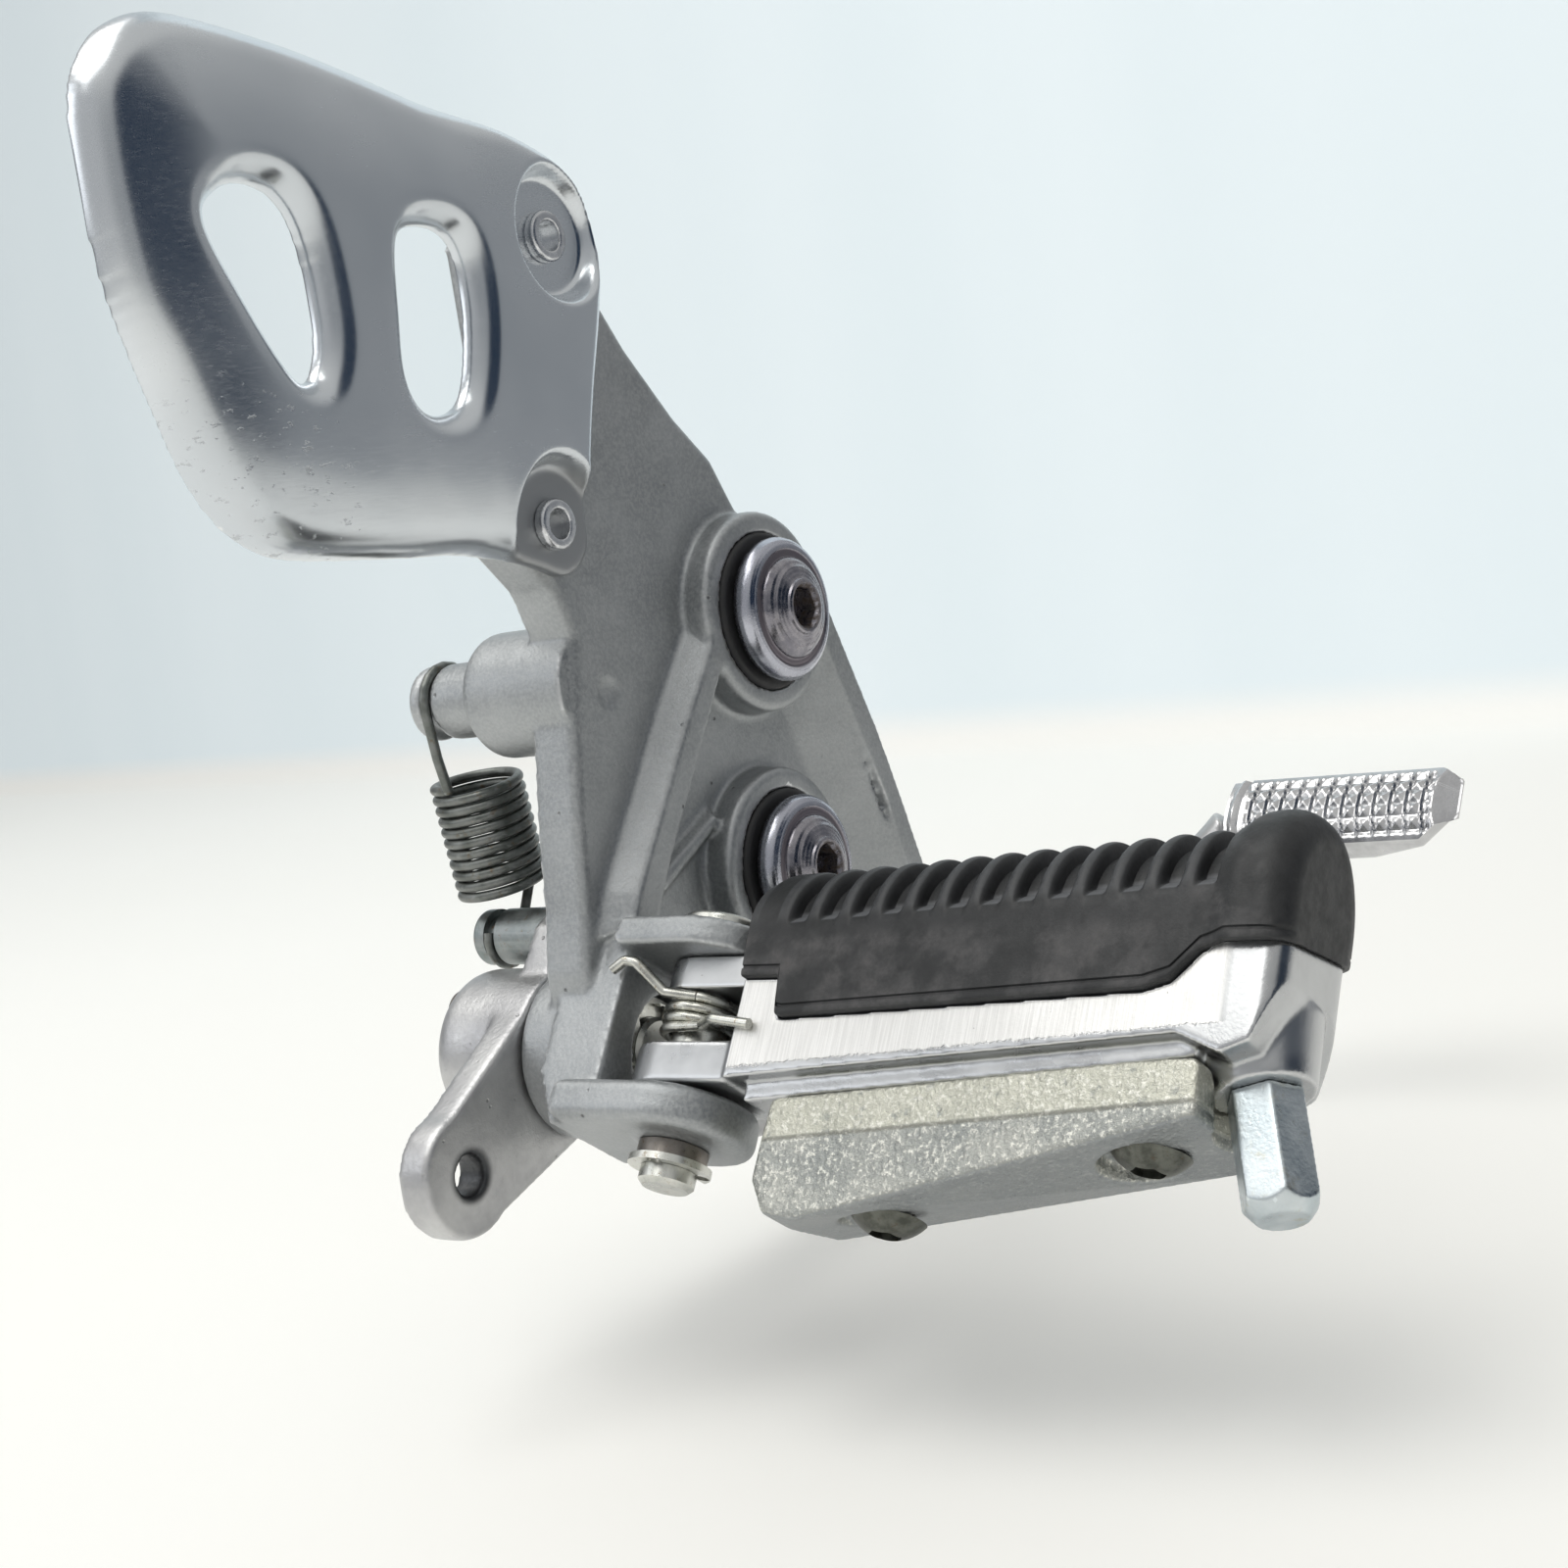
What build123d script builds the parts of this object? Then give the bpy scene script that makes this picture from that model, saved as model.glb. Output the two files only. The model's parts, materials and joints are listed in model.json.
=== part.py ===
from build123d import *
import os
from math import cos, sin, radians, hypot

# Right-hand rider foot peg assembly with rear brake pedal, millimetres.
# +X is forward, +Y is inboard (towards the motorcycle), +Z is up.
# The origin is on the axis of the upper mounting hole, in the mounting plane Y = 0.

# ---- driving dimensions ----
MOUNTS = [(0.0, 0.0), (-4.3, -40.0)]      # X, Z of the two mounting holes
PLATE_IN = -5.0                            # inboard face of the casting web
PLATE_OUT = -13.0                          # outboard face of the casting web
RIM_OUT = -18.0                            # top of the raised rims and bosses
MOUNT_BOSS_R = 15.8
MOUNT_BORE_R = 12.35
SLEEVE_R = 6.2
SLEEVE_BORE_R = 4.3
BOLT_R = 4.0                               # thread past the mounting plane
SHANK_R = 4.2                              # shoulder of each bolt inside its sleeve
FLANGE_R = 11.25
PIVOT = (-40.6, -60.0)                     # X, Z of the brake pedal pivot
PIVOT_BOSS_R = 13.0
SHAFT_R = 5.0                              # brake pedal pivot shaft
HUB_IN = 18.8
SHAFT_IN = 14.0                            # inboard end of the pivot shaft inside the hub
RECESS_OUT = -12.8                         # floor of the pivot clip recess
HUB_OUT = 0.4
EYE = (-66.3, -71.2)                       # X, Z of the push-rod clevis hole
EYE_R = 3.0
ARM_T = 5.6
SPRING_POST = (-35.8, -6.2)
POST_BOSS_R = 9.5
POST_R = 5.8
SPRING_Y = 18.5                            # plane of the brake return spring
ANCHOR = (-31.7, -44.0)                    # X, Z of the spring anchor pin on the pedal
ANCHOR_R = 4.4
GUARD_FACE = -19.5
GUARD_LIP = -12.5
GUARD_T = 2.2
GUARD_SEAT = -15.0                         # recess floor under each rivet collar
GUARD_HOLES = [(-36.8, 58.1), (-44.6, 17.6)]
PEG_TILT = 36.0                            # peg pin leans forward from the vertical
PEG_PIN_AT = (-43.5, -28.0, -53.5)
PIN_R = 4.0
PIN_FIT = 0.05
LUG_R = (8.0, 6.0)                         # lower and upper lugs of the peg
CLEVIS_R = 11.0
LOW_LUG = (-19.6, -13.6)
UP_LUG = (6.3, 10.6)
PEG_LOW_LUG = (-13.2, -7.2)
PEG_UP_LUG = (1.3, 6.0)
PEG_REAR = -8.5                            # rear and front faces of the metal peg
PEG_FRONT = 13.5
PEG_MID = 2.5
RUBBER_R = 12.0
RIB_COUNT = 13
RIB_PITCH = 5.0
WEIGHT_BOLTS = (35.6, 71.6)
SPRING_R = 6.5
SPRING_WIRE = 0.8                          # radius
TORSION_R = 5.2
TORSION_WIRE = 0.75                        # radius
TORSION_LOW = -4.2
HEX_AF = 8.6
FEELER_OUT = 15.8
FEELER_AT = (85.4, 2.5, -10.5)
FEELER_LEAN = 16.5

# Local frame of the peg: x runs outboard, y forward, z up along the peg pin.
PEG = Plane(origin=PEG_PIN_AT, x_dir=(0, -1, 0),
            z_dir=(sin(radians(PEG_TILT)), 0, cos(radians(PEG_TILT)))).location

os.makedirs("parts", exist_ok=True)


def save(name, *solids):
    shape = solids[0] if len(solids) == 1 else Compound(children=list(solids))
    if len(solids) == 1 and isinstance(shape, Compound) and len(shape.solids()) == 1:
        shape = shape.solids()[0]
    shape.label = name
    export_step(shape, f"parts/{name}.step")


def slab(points, y_in, y_out, corner=0.0):
    """Prism on the X-Z plane between two Y levels."""
    face = make_face(Polyline(*points, close=True))
    if corner:
        face = fillet(face.vertices(), corner)
    return extrude(Plane.XZ.offset(-y_in) * face, amount=y_in - y_out)


def barrel(at, radius, y_in, y_out):
    """Cylinder along Y between two Y levels."""
    face = Plane.XZ.offset(-y_in) * Pos(at[0], at[1]) * Circle(radius)
    return extrude(face, amount=y_in - y_out)


def side_slab(points, y_from, y_to, corner=0.0):
    """Prism in the peg frame: profile in x-z, between two forward levels."""
    face = make_face(Polyline(*points, close=True))
    if corner:
        face = fillet(face.vertices(), corner)
    plane = Plane(origin=(0, y_to, 0), x_dir=(1, 0, 0), z_dir=(0, -1, 0))
    return extrude(plane * face, amount=y_to - y_from)


def disc(radius, low, high, at=(0.0, 0.0)):
    """Cylinder along z in the peg frame."""
    return Pos(at[0], at[1], low) * Cylinder(radius, high - low,
                                             align=(Align.CENTER, Align.CENTER, Align.MIN))


def rod(p, q, radius):
    """Round bar between two points."""
    a, b = Vector(*p), Vector(*q)
    return extrude(Plane(origin=a, z_dir=b - a) * Circle(radius), amount=(b - a).length)


def bent_wire(points, radius, bend=1.1):
    """Wire of round section through the points, with rounded bends."""
    path = FilletPolyline(*points, radius=bend)
    start = Plane(origin=path @ 0, z_dir=path % 0)
    return sweep(start * Circle(radius), path=path) + Pos(*points[0]) * Sphere(radius * 1.03)


def coil(radius, pitch, turns, wire, left=False):
    """Close wound helix along z that starts on the +x side."""
    path = Helix(pitch, pitch * turns, radius, lefthand=left)
    start = Plane(origin=path @ 0, z_dir=path % 0)
    return sweep(start * Circle(wire), path=path, is_frenet=True)


def soften(shape, edges, radius):
    """Fillet with a fall-back to the plain shape when an edge can't take it."""
    for size in (radius, radius * 0.6, radius * 0.3):
        try:
            result = fillet(edges, size)
            if result.is_valid and result.volume > 0:
                return result
        except Exception:
            continue
    return shape


# ---- bracket casting ----
WEB = [(-42.0, 65.5), (-32.5, 66.0), (-26.0, 53.5), (-18.5, 42.4), (-9.2, 31.7), (-1.5, 24.8),
       (4.0, 15.0), (15.0, 4.5), (20.9, -9.6), (26.5, -22.9), (31.1, -36.5), (36.6, -54.0),
       (30.0, -60.0), (0.0, -62.0), (-28.0, -66.0), (-50.0, -60.0), (-50.3, -46.3),
       (-48.5, -37.7), (-46.8, -24.4), (-44.4, -11.1), (-41.9, 1.5), (-44.5, 8.5),
       (-51.5, 16.0), (-47.5, 27.0), (-46.0, 40.0), (-46.5, 58.0)]
DIAGONAL = [(-11.0, 9.0), (-14.8, 1.2), (-25.7, -11.6), (-44.1, -35.2), (-47.5, -42.0),
            (-37.5, -44.0), (-31.5, -34.5), (-17.2, -15.5), (-8.0, -3.0)]
FRONT_RIM = [(15.0, 4.5), (20.9, -9.6), (26.5, -22.9), (31.1, -36.5), (36.6, -54.0),
             (30.2, -54.0), (24.9, -34.7), (20.5, -23.9), (14.0, -8.0), (9.0, -3.0)]
LOWER_RIM = [(-46.0, -42.0), (-36.0, -46.5), (-20.0, -55.0), (0.0, -56.5), (30.5, -53.0),
             (36.6, -54.0), (30.0, -60.0), (0.0, -62.0), (-24.0, -61.0), (-44.0, -50.0)]
BOSS_RIB = [(-36.5, -36.0), (-22.5, -30.0), (-17.0, -27.5), (-15.5, -31.0), (-33.0, -39.5)]


def front_panel():
    """Wedge that slopes from the field of the web up to the front rim."""
    ends = [(13.5, -6.0), (31.0, -53.0)]
    faces = []
    for x, z in ends:
        corners = [(x, PLATE_OUT + 0.5, z), (x, RIM_OUT + 0.6, z), (x - 10.3, PLATE_OUT + 0.5, z - 3.8)]
        faces.append(make_face(Polyline(*corners, close=True)))
    return Solid.make_loft([face.face().outer_wire() for face in faces], True)


def raised(points, height, taper):
    """Raised rim with sloping flanks on the outboard face of the web."""
    face = Plane.XZ.offset(-PLATE_OUT) * make_face(Polyline(*points, close=True))
    return extrude(face, amount=height, taper=taper)


def clevis():
    """Root block and the two ears that carry the peg pin."""
    profile = [(-21.0, UP_LUG[1]), (-10.0, UP_LUG[1]), (-10.0, LOW_LUG[0]), (-17.0, LOW_LUG[0]),
               (-21.0, -12.0)]
    solid = side_slab(profile, -8.0, 10.0)
    for (low, high), back, edge in ((LOW_LUG, 15.4, 1.7), (UP_LUG, 11.0, 0.7)):
        ear = disc(CLEVIS_R, low, high)
        ear += Pos(-back / 2, 0, (low + high) / 2) * Box(back, 2 * CLEVIS_R, high - low)
        ear = soften(ear, ear.edges().filter_by(Plane.XY), edge)
        solid = solid + ear
    solid += disc(5.6, LOW_LUG[0] - 0.5, LOW_LUG[0] + 1.0)
    solid += Pos(1.0, 12.2, -4.0) * Box(21.6, 3.4, 12.0)
    solid += Pos(-7.0, 10.5, -4.0) * Box(8.0, 5.0, 12.0)
    return solid - disc(PIN_R + PIN_FIT, -30.0, 30.0)


def bracket_casting():
    body = slab(WEB, PLATE_IN, PLATE_OUT)
    body = soften(body, body.faces().sort_by(Axis.Y)[0].edges(), 1.6)
    body += raised(DIAGONAL, 5.0, 26)
    body += raised(FRONT_RIM, 5.0, 6)
    body += raised(LOWER_RIM, 4.6, 14)
    body += raised(BOSS_RIB, 2.2, 30)
    body += front_panel()
    for at in MOUNTS:
        boss = barrel(at, MOUNT_BOSS_R, -0.8, RIM_OUT)
        boss = soften(boss, boss.faces().sort_by(Axis.Y)[0].edges(), 1.2)
        body += boss
    pivot = barrel(PIVOT, PIVOT_BOSS_R, 0.0, RIM_OUT)
    body += soften(pivot, pivot.faces().sort_by(Axis.Y)[-1].edges(), 0.8)
    body += PEG * clevis()
    post = barrel(SPRING_POST, POST_BOSS_R, 8.0, PLATE_OUT + 1.0)
    body += soften(post, post.faces().sort_by(Axis.Y)[-1].edges(), 2.2)
    pin = barrel(SPRING_POST, POST_R, 22.0, 7.0)
    body += soften(pin, pin.faces().sort_by(Axis.Y)[-1].edges(), 0.7)
    groove = barrel(SPRING_POST, POST_R + 2, 19.6, 17.4)
    body -= groove - barrel(SPRING_POST, POST_R - 1.2, 19.6, 17.4)
    for at in MOUNTS:
        body -= barrel(at, MOUNT_BORE_R, 1.0, RIM_OUT - 1.0)
    body -= barrel(PIVOT, SHAFT_R + 1.5, 1.0, RIM_OUT - 1.0)
    body -= barrel(PIVOT, 8.5, RECESS_OUT, RIM_OUT - 4.0)
    for at in GUARD_HOLES:
        body -= barrel(at, 3.05, 0.0, PLATE_OUT - 1.0)
    body -= barrel((-35.7, -7.5), 2.3, PLATE_OUT + 0.4, PLATE_OUT - 1.0)
    return body


# ---- heel guard ----
GUARD = [(-114.9, 72.4), (-112.4, 78.0), (-107.5, 82.5), (-99.7, 84.4), (-84.5, 82.1),
         (-71.6, 79.6), (-54.4, 75.2), (-38.5, 70.8), (-29.0, 66.2), (-25.7, 58.0),
         (-27.4, 49.5), (-32.6, 35.6), (-36.2, 20.3), (-37.5, 12.5), (-46.5, 9.8),
         (-54.0, 14.2), (-74.0, 15.9), (-91.3, 17.3), (-98.2, 19.5), (-103.7, 23.3),
         (-107.8, 29.8), (-111.6, 39.4), (-115.0, 48.6), (-116.0, 60.0)]
WINDOW_A = [(-100.8, 59.9), (-97.4, 62.9), (-93.0, 63.4), (-88.6, 61.8), (-85.8, 57.2),
            (-85.2, 45.0), (-87.3, 39.8), (-91.2, 39.8), (-95.8, 46.8), (-100.6, 55.4)]
WINDOW_B = [(-68.8, 56.4), (-65.3, 58.5), (-60.3, 58.5), (-57.0, 56.0), (-56.2, 49.8),
            (-58.3, 40.6), (-61.0, 35.4), (-65.2, 33.9), (-69.3, 35.0), (-71.2, 38.5),
            (-70.6, 46.0)]


def heel_guard():
    outer = slab(GUARD, GUARD_LIP, GUARD_FACE, 2.0)
    outer = soften(outer, outer.faces().sort_by(Axis.Y)[0].edges(), 4.5)
    cavity = offset(make_face(Polyline(*GUARD, close=True)), -GUARD_T, kind=Kind.INTERSECTION)
    inner = extrude(Plane.XZ.offset(-GUARD_LIP) * cavity, amount=GUARD_LIP - GUARD_FACE - GUARD_T)
    inner = soften(inner, inner.faces().sort_by(Axis.Y)[0].edges(), 2.4)
    shell = outer - inner
    for at in GUARD_HOLES:
        shell += barrel(at, 11.4, PLATE_OUT, GUARD_FACE + 0.6) & outer
    for window in (WINDOW_A, WINDOW_B):
        collar = offset(make_face(Polyline(*window, close=True)), GUARD_T)
        shell += extrude(Plane.XZ.offset(-GUARD_FACE - 3.6) * collar, amount=3.6)
    for window in (WINDOW_A, WINDOW_B):
        shell -= slab(window, 0.0, -30.0, 1.8)
    for at in GUARD_HOLES:
        shell -= barrel(at, 8.9, GUARD_SEAT, -30.0)
        shell -= barrel(at, 3.05, 0.0, -30.0)
    shell -= slab([(-54.0, 5.0), (-54.0, 68.6), (-20.0, 68.6), (-20.0, 5.0)], 0.0, PLATE_OUT)
    return shell


def hex_socket(at, across, y_from, y_to):
    face = Plane.XZ.offset(-y_from) * Pos(*at) * RegularPolygon(across / 2, 6, major_radius=False)
    return extrude(face, amount=y_from - y_to)


def guard_rivet(at):
    """Hollow rivet: a collar round a blind hole outboard, a formed head on the inboard side."""
    collar = barrel(at, 3.7, GUARD_SEAT, GUARD_SEAT - 1.7)
    collar = soften(collar, collar.faces().sort_by(Axis.Y)[0].edges(), 0.6)
    head = barrel(at, 5.0, PLATE_IN + 1.7, PLATE_IN)
    head = soften(head, head.faces().sort_by(Axis.Y)[-1].edges(), 0.9)
    rivet = collar + head + barrel(at, 2.98, PLATE_IN + 0.5, GUARD_SEAT - 0.5)
    return rivet - barrel(at, 2.2, GUARD_SEAT + 3.0, GUARD_SEAT - 3.0)


# ---- mounting hardware ----
def mounting_bolt(at):
    flange = barrel(at, FLANGE_R, -19.0, -22.0)
    flange = chamfer(flange.faces().sort_by(Axis.Y)[0].edges(), 0.9)
    profile = [(0, -21.5), (9.2, -21.5), (9.2, -22.4), (8.6, -23.6), (6.9, -24.6), (4.8, -25.4),
               (0, -25.4)]
    dome = revolve(Plane.XY * make_face(Polyline(*profile, close=True)), Axis.Y)
    bolt = flange + Pos(at[0], 0, at[1]) * dome
    bolt += barrel(at, SHANK_R, 0.0, -19.5) + barrel(at, BOLT_R, 14.0, -0.5)
    bolt -= hex_socket(at, 6.0, -21.2, -26.0)
    return chamfer(bolt.faces().sort_by(Axis.Y)[-1].edges(), 0.8)


def sleeve(at):
    return barrel(at, SLEEVE_R, 0.0, -19.0) - barrel(at, SLEEVE_BORE_R, 1.0, -20.0)


def grommet(at):
    body = barrel(at, MOUNT_BORE_R, -1.2, -18.6)
    body = soften(body, body.faces().sort_by(Axis.Y)[0].edges(), 0.8)
    return body - barrel(at, SLEEVE_R, 0.0, -20.0)


# ---- brake pedal ----
HUB_SCREW = (-41.6, -53.7)
TREAD_SIDE = 1.0                           # the tread faces up and rearward
TIP_FRAME = Plane(origin=(101.8, -43.5, -54.2), x_dir=(0.669, 0, 0.743), z_dir=(0, -1, 0)).location
LEVER = [(-38.0, 7.2, -64.0), (-12.0, 7.2, -76.0), (24.0, 7.2, -82.0), (58.0, 3.0, -81.0),
         (84.0, -16.0, -76.0), (98.0, -36.0, -66.0), (102.5, -46.0, -57.0)]


def lever():
    """Forged lever that runs forward low down and swings outboard at its end."""
    path = Spline(*LEVER)
    start = Plane(origin=path @ 0, x_dir=(0, 1, 0), z_dir=path % 0)
    return sweep(start * RectangleRounded(8.4, 15.0, 3.2), path=path)


def brake_pedal():
    hub = barrel(PIVOT, PIVOT_BOSS_R - 0.4, HUB_IN, HUB_OUT)
    hub = soften(hub, hub.faces().sort_by(Axis.Y)[-1].edges(), 4.0)
    eye = barrel(EYE, 9.2, HUB_OUT + ARM_T, HUB_OUT)
    dx, dz = EYE[0] - PIVOT[0], EYE[1] - PIVOT[1]
    run = hypot(dx, dz)
    nx, nz = -dz / run, dx / run
    r1, r2 = PIVOT_BOSS_R - 0.9, 8.7
    web = [(PIVOT[0] + nx * r1, PIVOT[1] + nz * r1), (EYE[0] + nx * r2, EYE[1] + nz * r2),
           (EYE[0] - nx * r2, EYE[1] - nz * r2), (PIVOT[0] - nx * r1, PIVOT[1] - nz * r1)]
    arm = slab(web, HUB_OUT + ARM_T, HUB_OUT) + eye
    arm = soften(arm, arm.faces().sort_by(Axis.Y)[0].edges(), 0.8)
    tongue = slab([(PIVOT[0] - 4.0, PIVOT[1] + 10.5), (ANCHOR[0] - 6.5, ANCHOR[1] + 3.0),
                   (ANCHOR[0] + 2.0, ANCHOR[1] + 7.0), (ANCHOR[0] + 7.0, ANCHOR[1]),
                   (PIVOT[0] + 12.0, PIVOT[1] + 3.0)], 6.6, 1.0, 1.5)
    pedal = hub + arm + tongue + lever()
    pedal -= barrel(PIVOT, SHAFT_R, SHAFT_IN, -4.0)
    pedal -= barrel(EYE, EYE_R, 30.0, -4.0)
    pedal -= barrel(ANCHOR, 3.0, 14.0, 0.0)
    pedal -= barrel(HUB_SCREW, 2.5, 30.0, HUB_IN - 4.4)
    pedal -= barrel(HUB_SCREW, 4.2, 30.0, HUB_IN)
    pedal -= TIP_FRAME * Box(60.0, 60.0, 60.0, align=(Align.CENTER, Align.CENTER, Align.MIN))
    return pedal


def toe_tip():
    """Toe piece: local x runs up the tread, y is the tread normal, z runs outboard."""
    block = Box(15.0, 8.0, 44.0, align=(Align.CENTER, Align.CENTER, Align.MIN))
    block = soften(block, block.edges().filter_by(Axis.Z), 1.4)
    block -= Pos(0, TREAD_SIDE * 6.5, 46.0) * Rot(TREAD_SIDE * 38, 0, 0) * Box(30.0, 8.0, 16.0)
    block -= Pos(0, -TREAD_SIDE * 3.2, 44.0) * Rot(-TREAD_SIDE * 17, 0, 0) * Box(30.0, 8.0, 40.0)
    for i in range(12):
        block -= Pos(0, TREAD_SIDE * 4.0, 4.4 + 3.1 * i) * Rot(45, 0, 0) * Box(20.0, 1.5, 1.5)
    for i in range(4):
        block -= Pos(-4.95 + 3.3 * i, TREAD_SIDE * 4.0, 21.5) * Rot(0, 0, 45) * Box(1.5, 1.5, 39.0)
    return TIP_FRAME * block


def anchor_pin():
    pin = barrel(ANCHOR, ANCHOR_R, 22.0, 6.6)
    pin = soften(pin, pin.faces().sort_by(Axis.Y)[-1].edges(), 0.7)
    pin += barrel(ANCHOR, 2.98, 7.0, 1.2)
    groove = barrel(ANCHOR, ANCHOR_R + 2, 19.6, 17.4) - barrel(ANCHOR, ANCHOR_R - 1.1, 19.6, 17.4)
    return pin - groove


def pedal_bush():
    tube = barrel(PIVOT, SHAFT_R + 1.5, -0.3, RECESS_OUT + 0.2)
    return tube - barrel(PIVOT, SHAFT_R + 0.04, 1.0, RECESS_OUT - 1.0)


def pivot_shaft():
    shaft = barrel(PIVOT, SHAFT_R, SHAFT_IN, RECESS_OUT - 3.2)
    shaft = chamfer(shaft.faces().sort_by(Axis.Y)[0].edges(), 0.6)
    ring = barrel(PIVOT, SHAFT_R + 1.0, RECESS_OUT - 1.3, RECESS_OUT - 2.5)
    return shaft - (ring - barrel(PIVOT, SHAFT_R - 0.8, RECESS_OUT - 1.3, RECESS_OUT - 2.5))


def pivot_washer():
    ring = barrel(PIVOT, 7.9, RECESS_OUT - 0.1, RECESS_OUT - 1.2)
    return ring - barrel(PIVOT, SHAFT_R + 0.1, RECESS_OUT + 1.0, RECESS_OUT - 2.0)


def pivot_clip():
    """E-clip on the outboard end of the pivot shaft."""
    clip = barrel(PIVOT, 7.0, RECESS_OUT - 1.35, RECESS_OUT - 2.4)
    clip -= barrel(PIVOT, SHAFT_R - 0.75, RECESS_OUT, RECESS_OUT - 4.0)
    for angle in (60, 180, 300):
        hole = (PIVOT[0] + 5.6 * cos(radians(angle)), PIVOT[1] + 5.6 * sin(radians(angle)))
        clip -= barrel(hole, 1.2, RECESS_OUT, RECESS_OUT - 4.0)
    mouth = [(PIVOT[0] - 2.6, PIVOT[1]), (PIVOT[0] + 2.6, PIVOT[1]),
             (PIVOT[0] + 2.6, PIVOT[1] + 9.0), (PIVOT[0] - 2.6, PIVOT[1] + 9.0)]
    return clip - slab(mouth, RECESS_OUT, RECESS_OUT - 4.0)


def hub_screw():
    head = barrel(HUB_SCREW, 3.5, HUB_IN + 2.4, HUB_IN + 0.02)
    head = soften(head, head.faces().sort_by(Axis.Y)[-1].edges(), 0.6)
    return head + barrel(HUB_SCREW, 2.48, HUB_IN + 0.5, HUB_IN - 4.4)


# ---- springs ----
def return_spring():
    """Close wound extension spring between the bracket post and the pedal pin."""
    top = Vector(-32.9, SPRING_Y, -18.6)
    bottom = Vector(-30.6, SPRING_Y, -36.6)
    axis = top - bottom
    frame = Plane(origin=bottom, x_dir=(1, 0, 0.128), z_dir=axis).location
    turns = 10.5
    body = frame * coil(SPRING_R, axis.length / turns, turns, SPRING_WIRE)
    post = POST_R - 1.2 + SPRING_WIRE + 0.2
    pin = ANCHOR_R - 1.1 + SPRING_WIRE + 0.2
    upper = [tuple((frame * Pos(-SPRING_R, 0, axis.length)).position)]
    upper += [(SPRING_POST[0] - post + 0.9, SPRING_Y, SPRING_POST[1] - 8.0)]
    upper += [hook_point(SPRING_POST, post, a) for a in range(190, -31, -20)]
    lower = [tuple((frame * Pos(SPRING_R, 0, 0)).position)]
    lower += [hook_point(ANCHOR, pin, a) for a in range(20, -211, -20)]
    return body + bent_wire(upper, SPRING_WIRE) + bent_wire(lower, SPRING_WIRE)


def hook_point(centre, radius, degrees):
    """Point of a hook round an axis along Y, in the plane of the return spring."""
    a = radians(degrees)
    return (centre[0] + radius * cos(a), SPRING_Y, centre[1] + radius * sin(a))


def torsion_spring():
    """Peg spring round the pin: one leg on the bracket, one on the peg."""
    turns = 2.95
    pitch = 1.55
    top = TORSION_LOW + pitch * turns
    body = Pos(0, 0, TORSION_LOW) * Rot(0, 0, -90) * coil(TORSION_R, pitch, turns, TORSION_WIRE, True)
    short = [(0, -TORSION_R, TORSION_LOW), (4.4, -TORSION_R - 0.4, TORSION_LOW),
             (9.0, -9.35, TORSION_LOW - 0.5), (15.4, -9.35, TORSION_LOW - 1.3)]
    leaves = radians(-71.5)
    long = [(TORSION_R * cos(leaves), TORSION_R * sin(leaves), top), (-3.0, -6.5, top + 0.1),
            (-7.2, -9.1, top + 3.6), (-9.2, -9.3, top + 3.9), (-11.0, -9.3, top + 2.4)]
    return body + bent_wire(short, TORSION_WIRE) + bent_wire(long, TORSION_WIRE)


# ---- peg hinge hardware ----
def peg_pin():
    pin = disc(PIN_R, LOW_LUG[0] - 6.4, UP_LUG[1] + 0.5)
    pin = chamfer(pin.faces().sort_by(Axis.Z)[0].edges(), 0.7)
    head = disc(6.5, UP_LUG[1] + 0.1, UP_LUG[1] + 2.6)
    pin += soften(head, head.faces().sort_by(Axis.Z)[-1].edges(), 0.8)
    low = LOW_LUG[0] - 3.85
    return pin - (disc(PIN_R + 1, low, low + 1.1) - disc(PIN_R - 0.9, low, low + 1.1))


def pin_washer():
    low = LOW_LUG[0] - 2.6
    return disc(5.0, low, low + 2.0) - disc(PIN_R + 0.1, low - 1, low + 2)


def pin_clip():
    """E-clip in the groove of the pin."""
    low = LOW_LUG[0] - 3.8
    clip = disc(5.9, low, low + 1.0) - disc(PIN_R - 0.85, low - 1, low + 2)
    for angle in (40, 160, 280):
        clip -= Rot(0, 0, angle) * Pos(4.6, 0, low) * Cylinder(1.1, 4.0)
    return clip - Pos(0, 6.0, low) * Box(4.4, 8.0, 4.0)


# ---- peg casting ----
BAND = [(12.2, -12.7), (78.0, -6.5), (84.0, -9.0), (87.6, -7.5), (90.6, 0.5), (90.6, 4.2),
        (83.0, 5.0), (80.0, 3.8), (76.5, 0.0), (73.0, -1.1), (19.2, -4.4), (18.6, 1.4), (12.2, 1.4)]
CORE = [(11.4, -11.0), (11.4, 5.9), (12.6, 8.0), (86.0, 11.0), (89.0, 2.0), (89.0, -4.0)]
KEEL = [(14.5, -15.2), (72.0, -9.6), (80.0, -8.6), (80.0, -4.0), (14.5, -9.0)]
PAD = [(12.2, 1.5), (18.7, 1.5), (19.3, -4.3), (64.0, -0.5), (74.5, 2.1), (85.5, 5.3),
       (90.8, 4.3), (91.0, 24.0), (84.0, 27.0), (10.0, 27.0), (11.6, 12.0)]
PAD_RISE = 2.9


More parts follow.
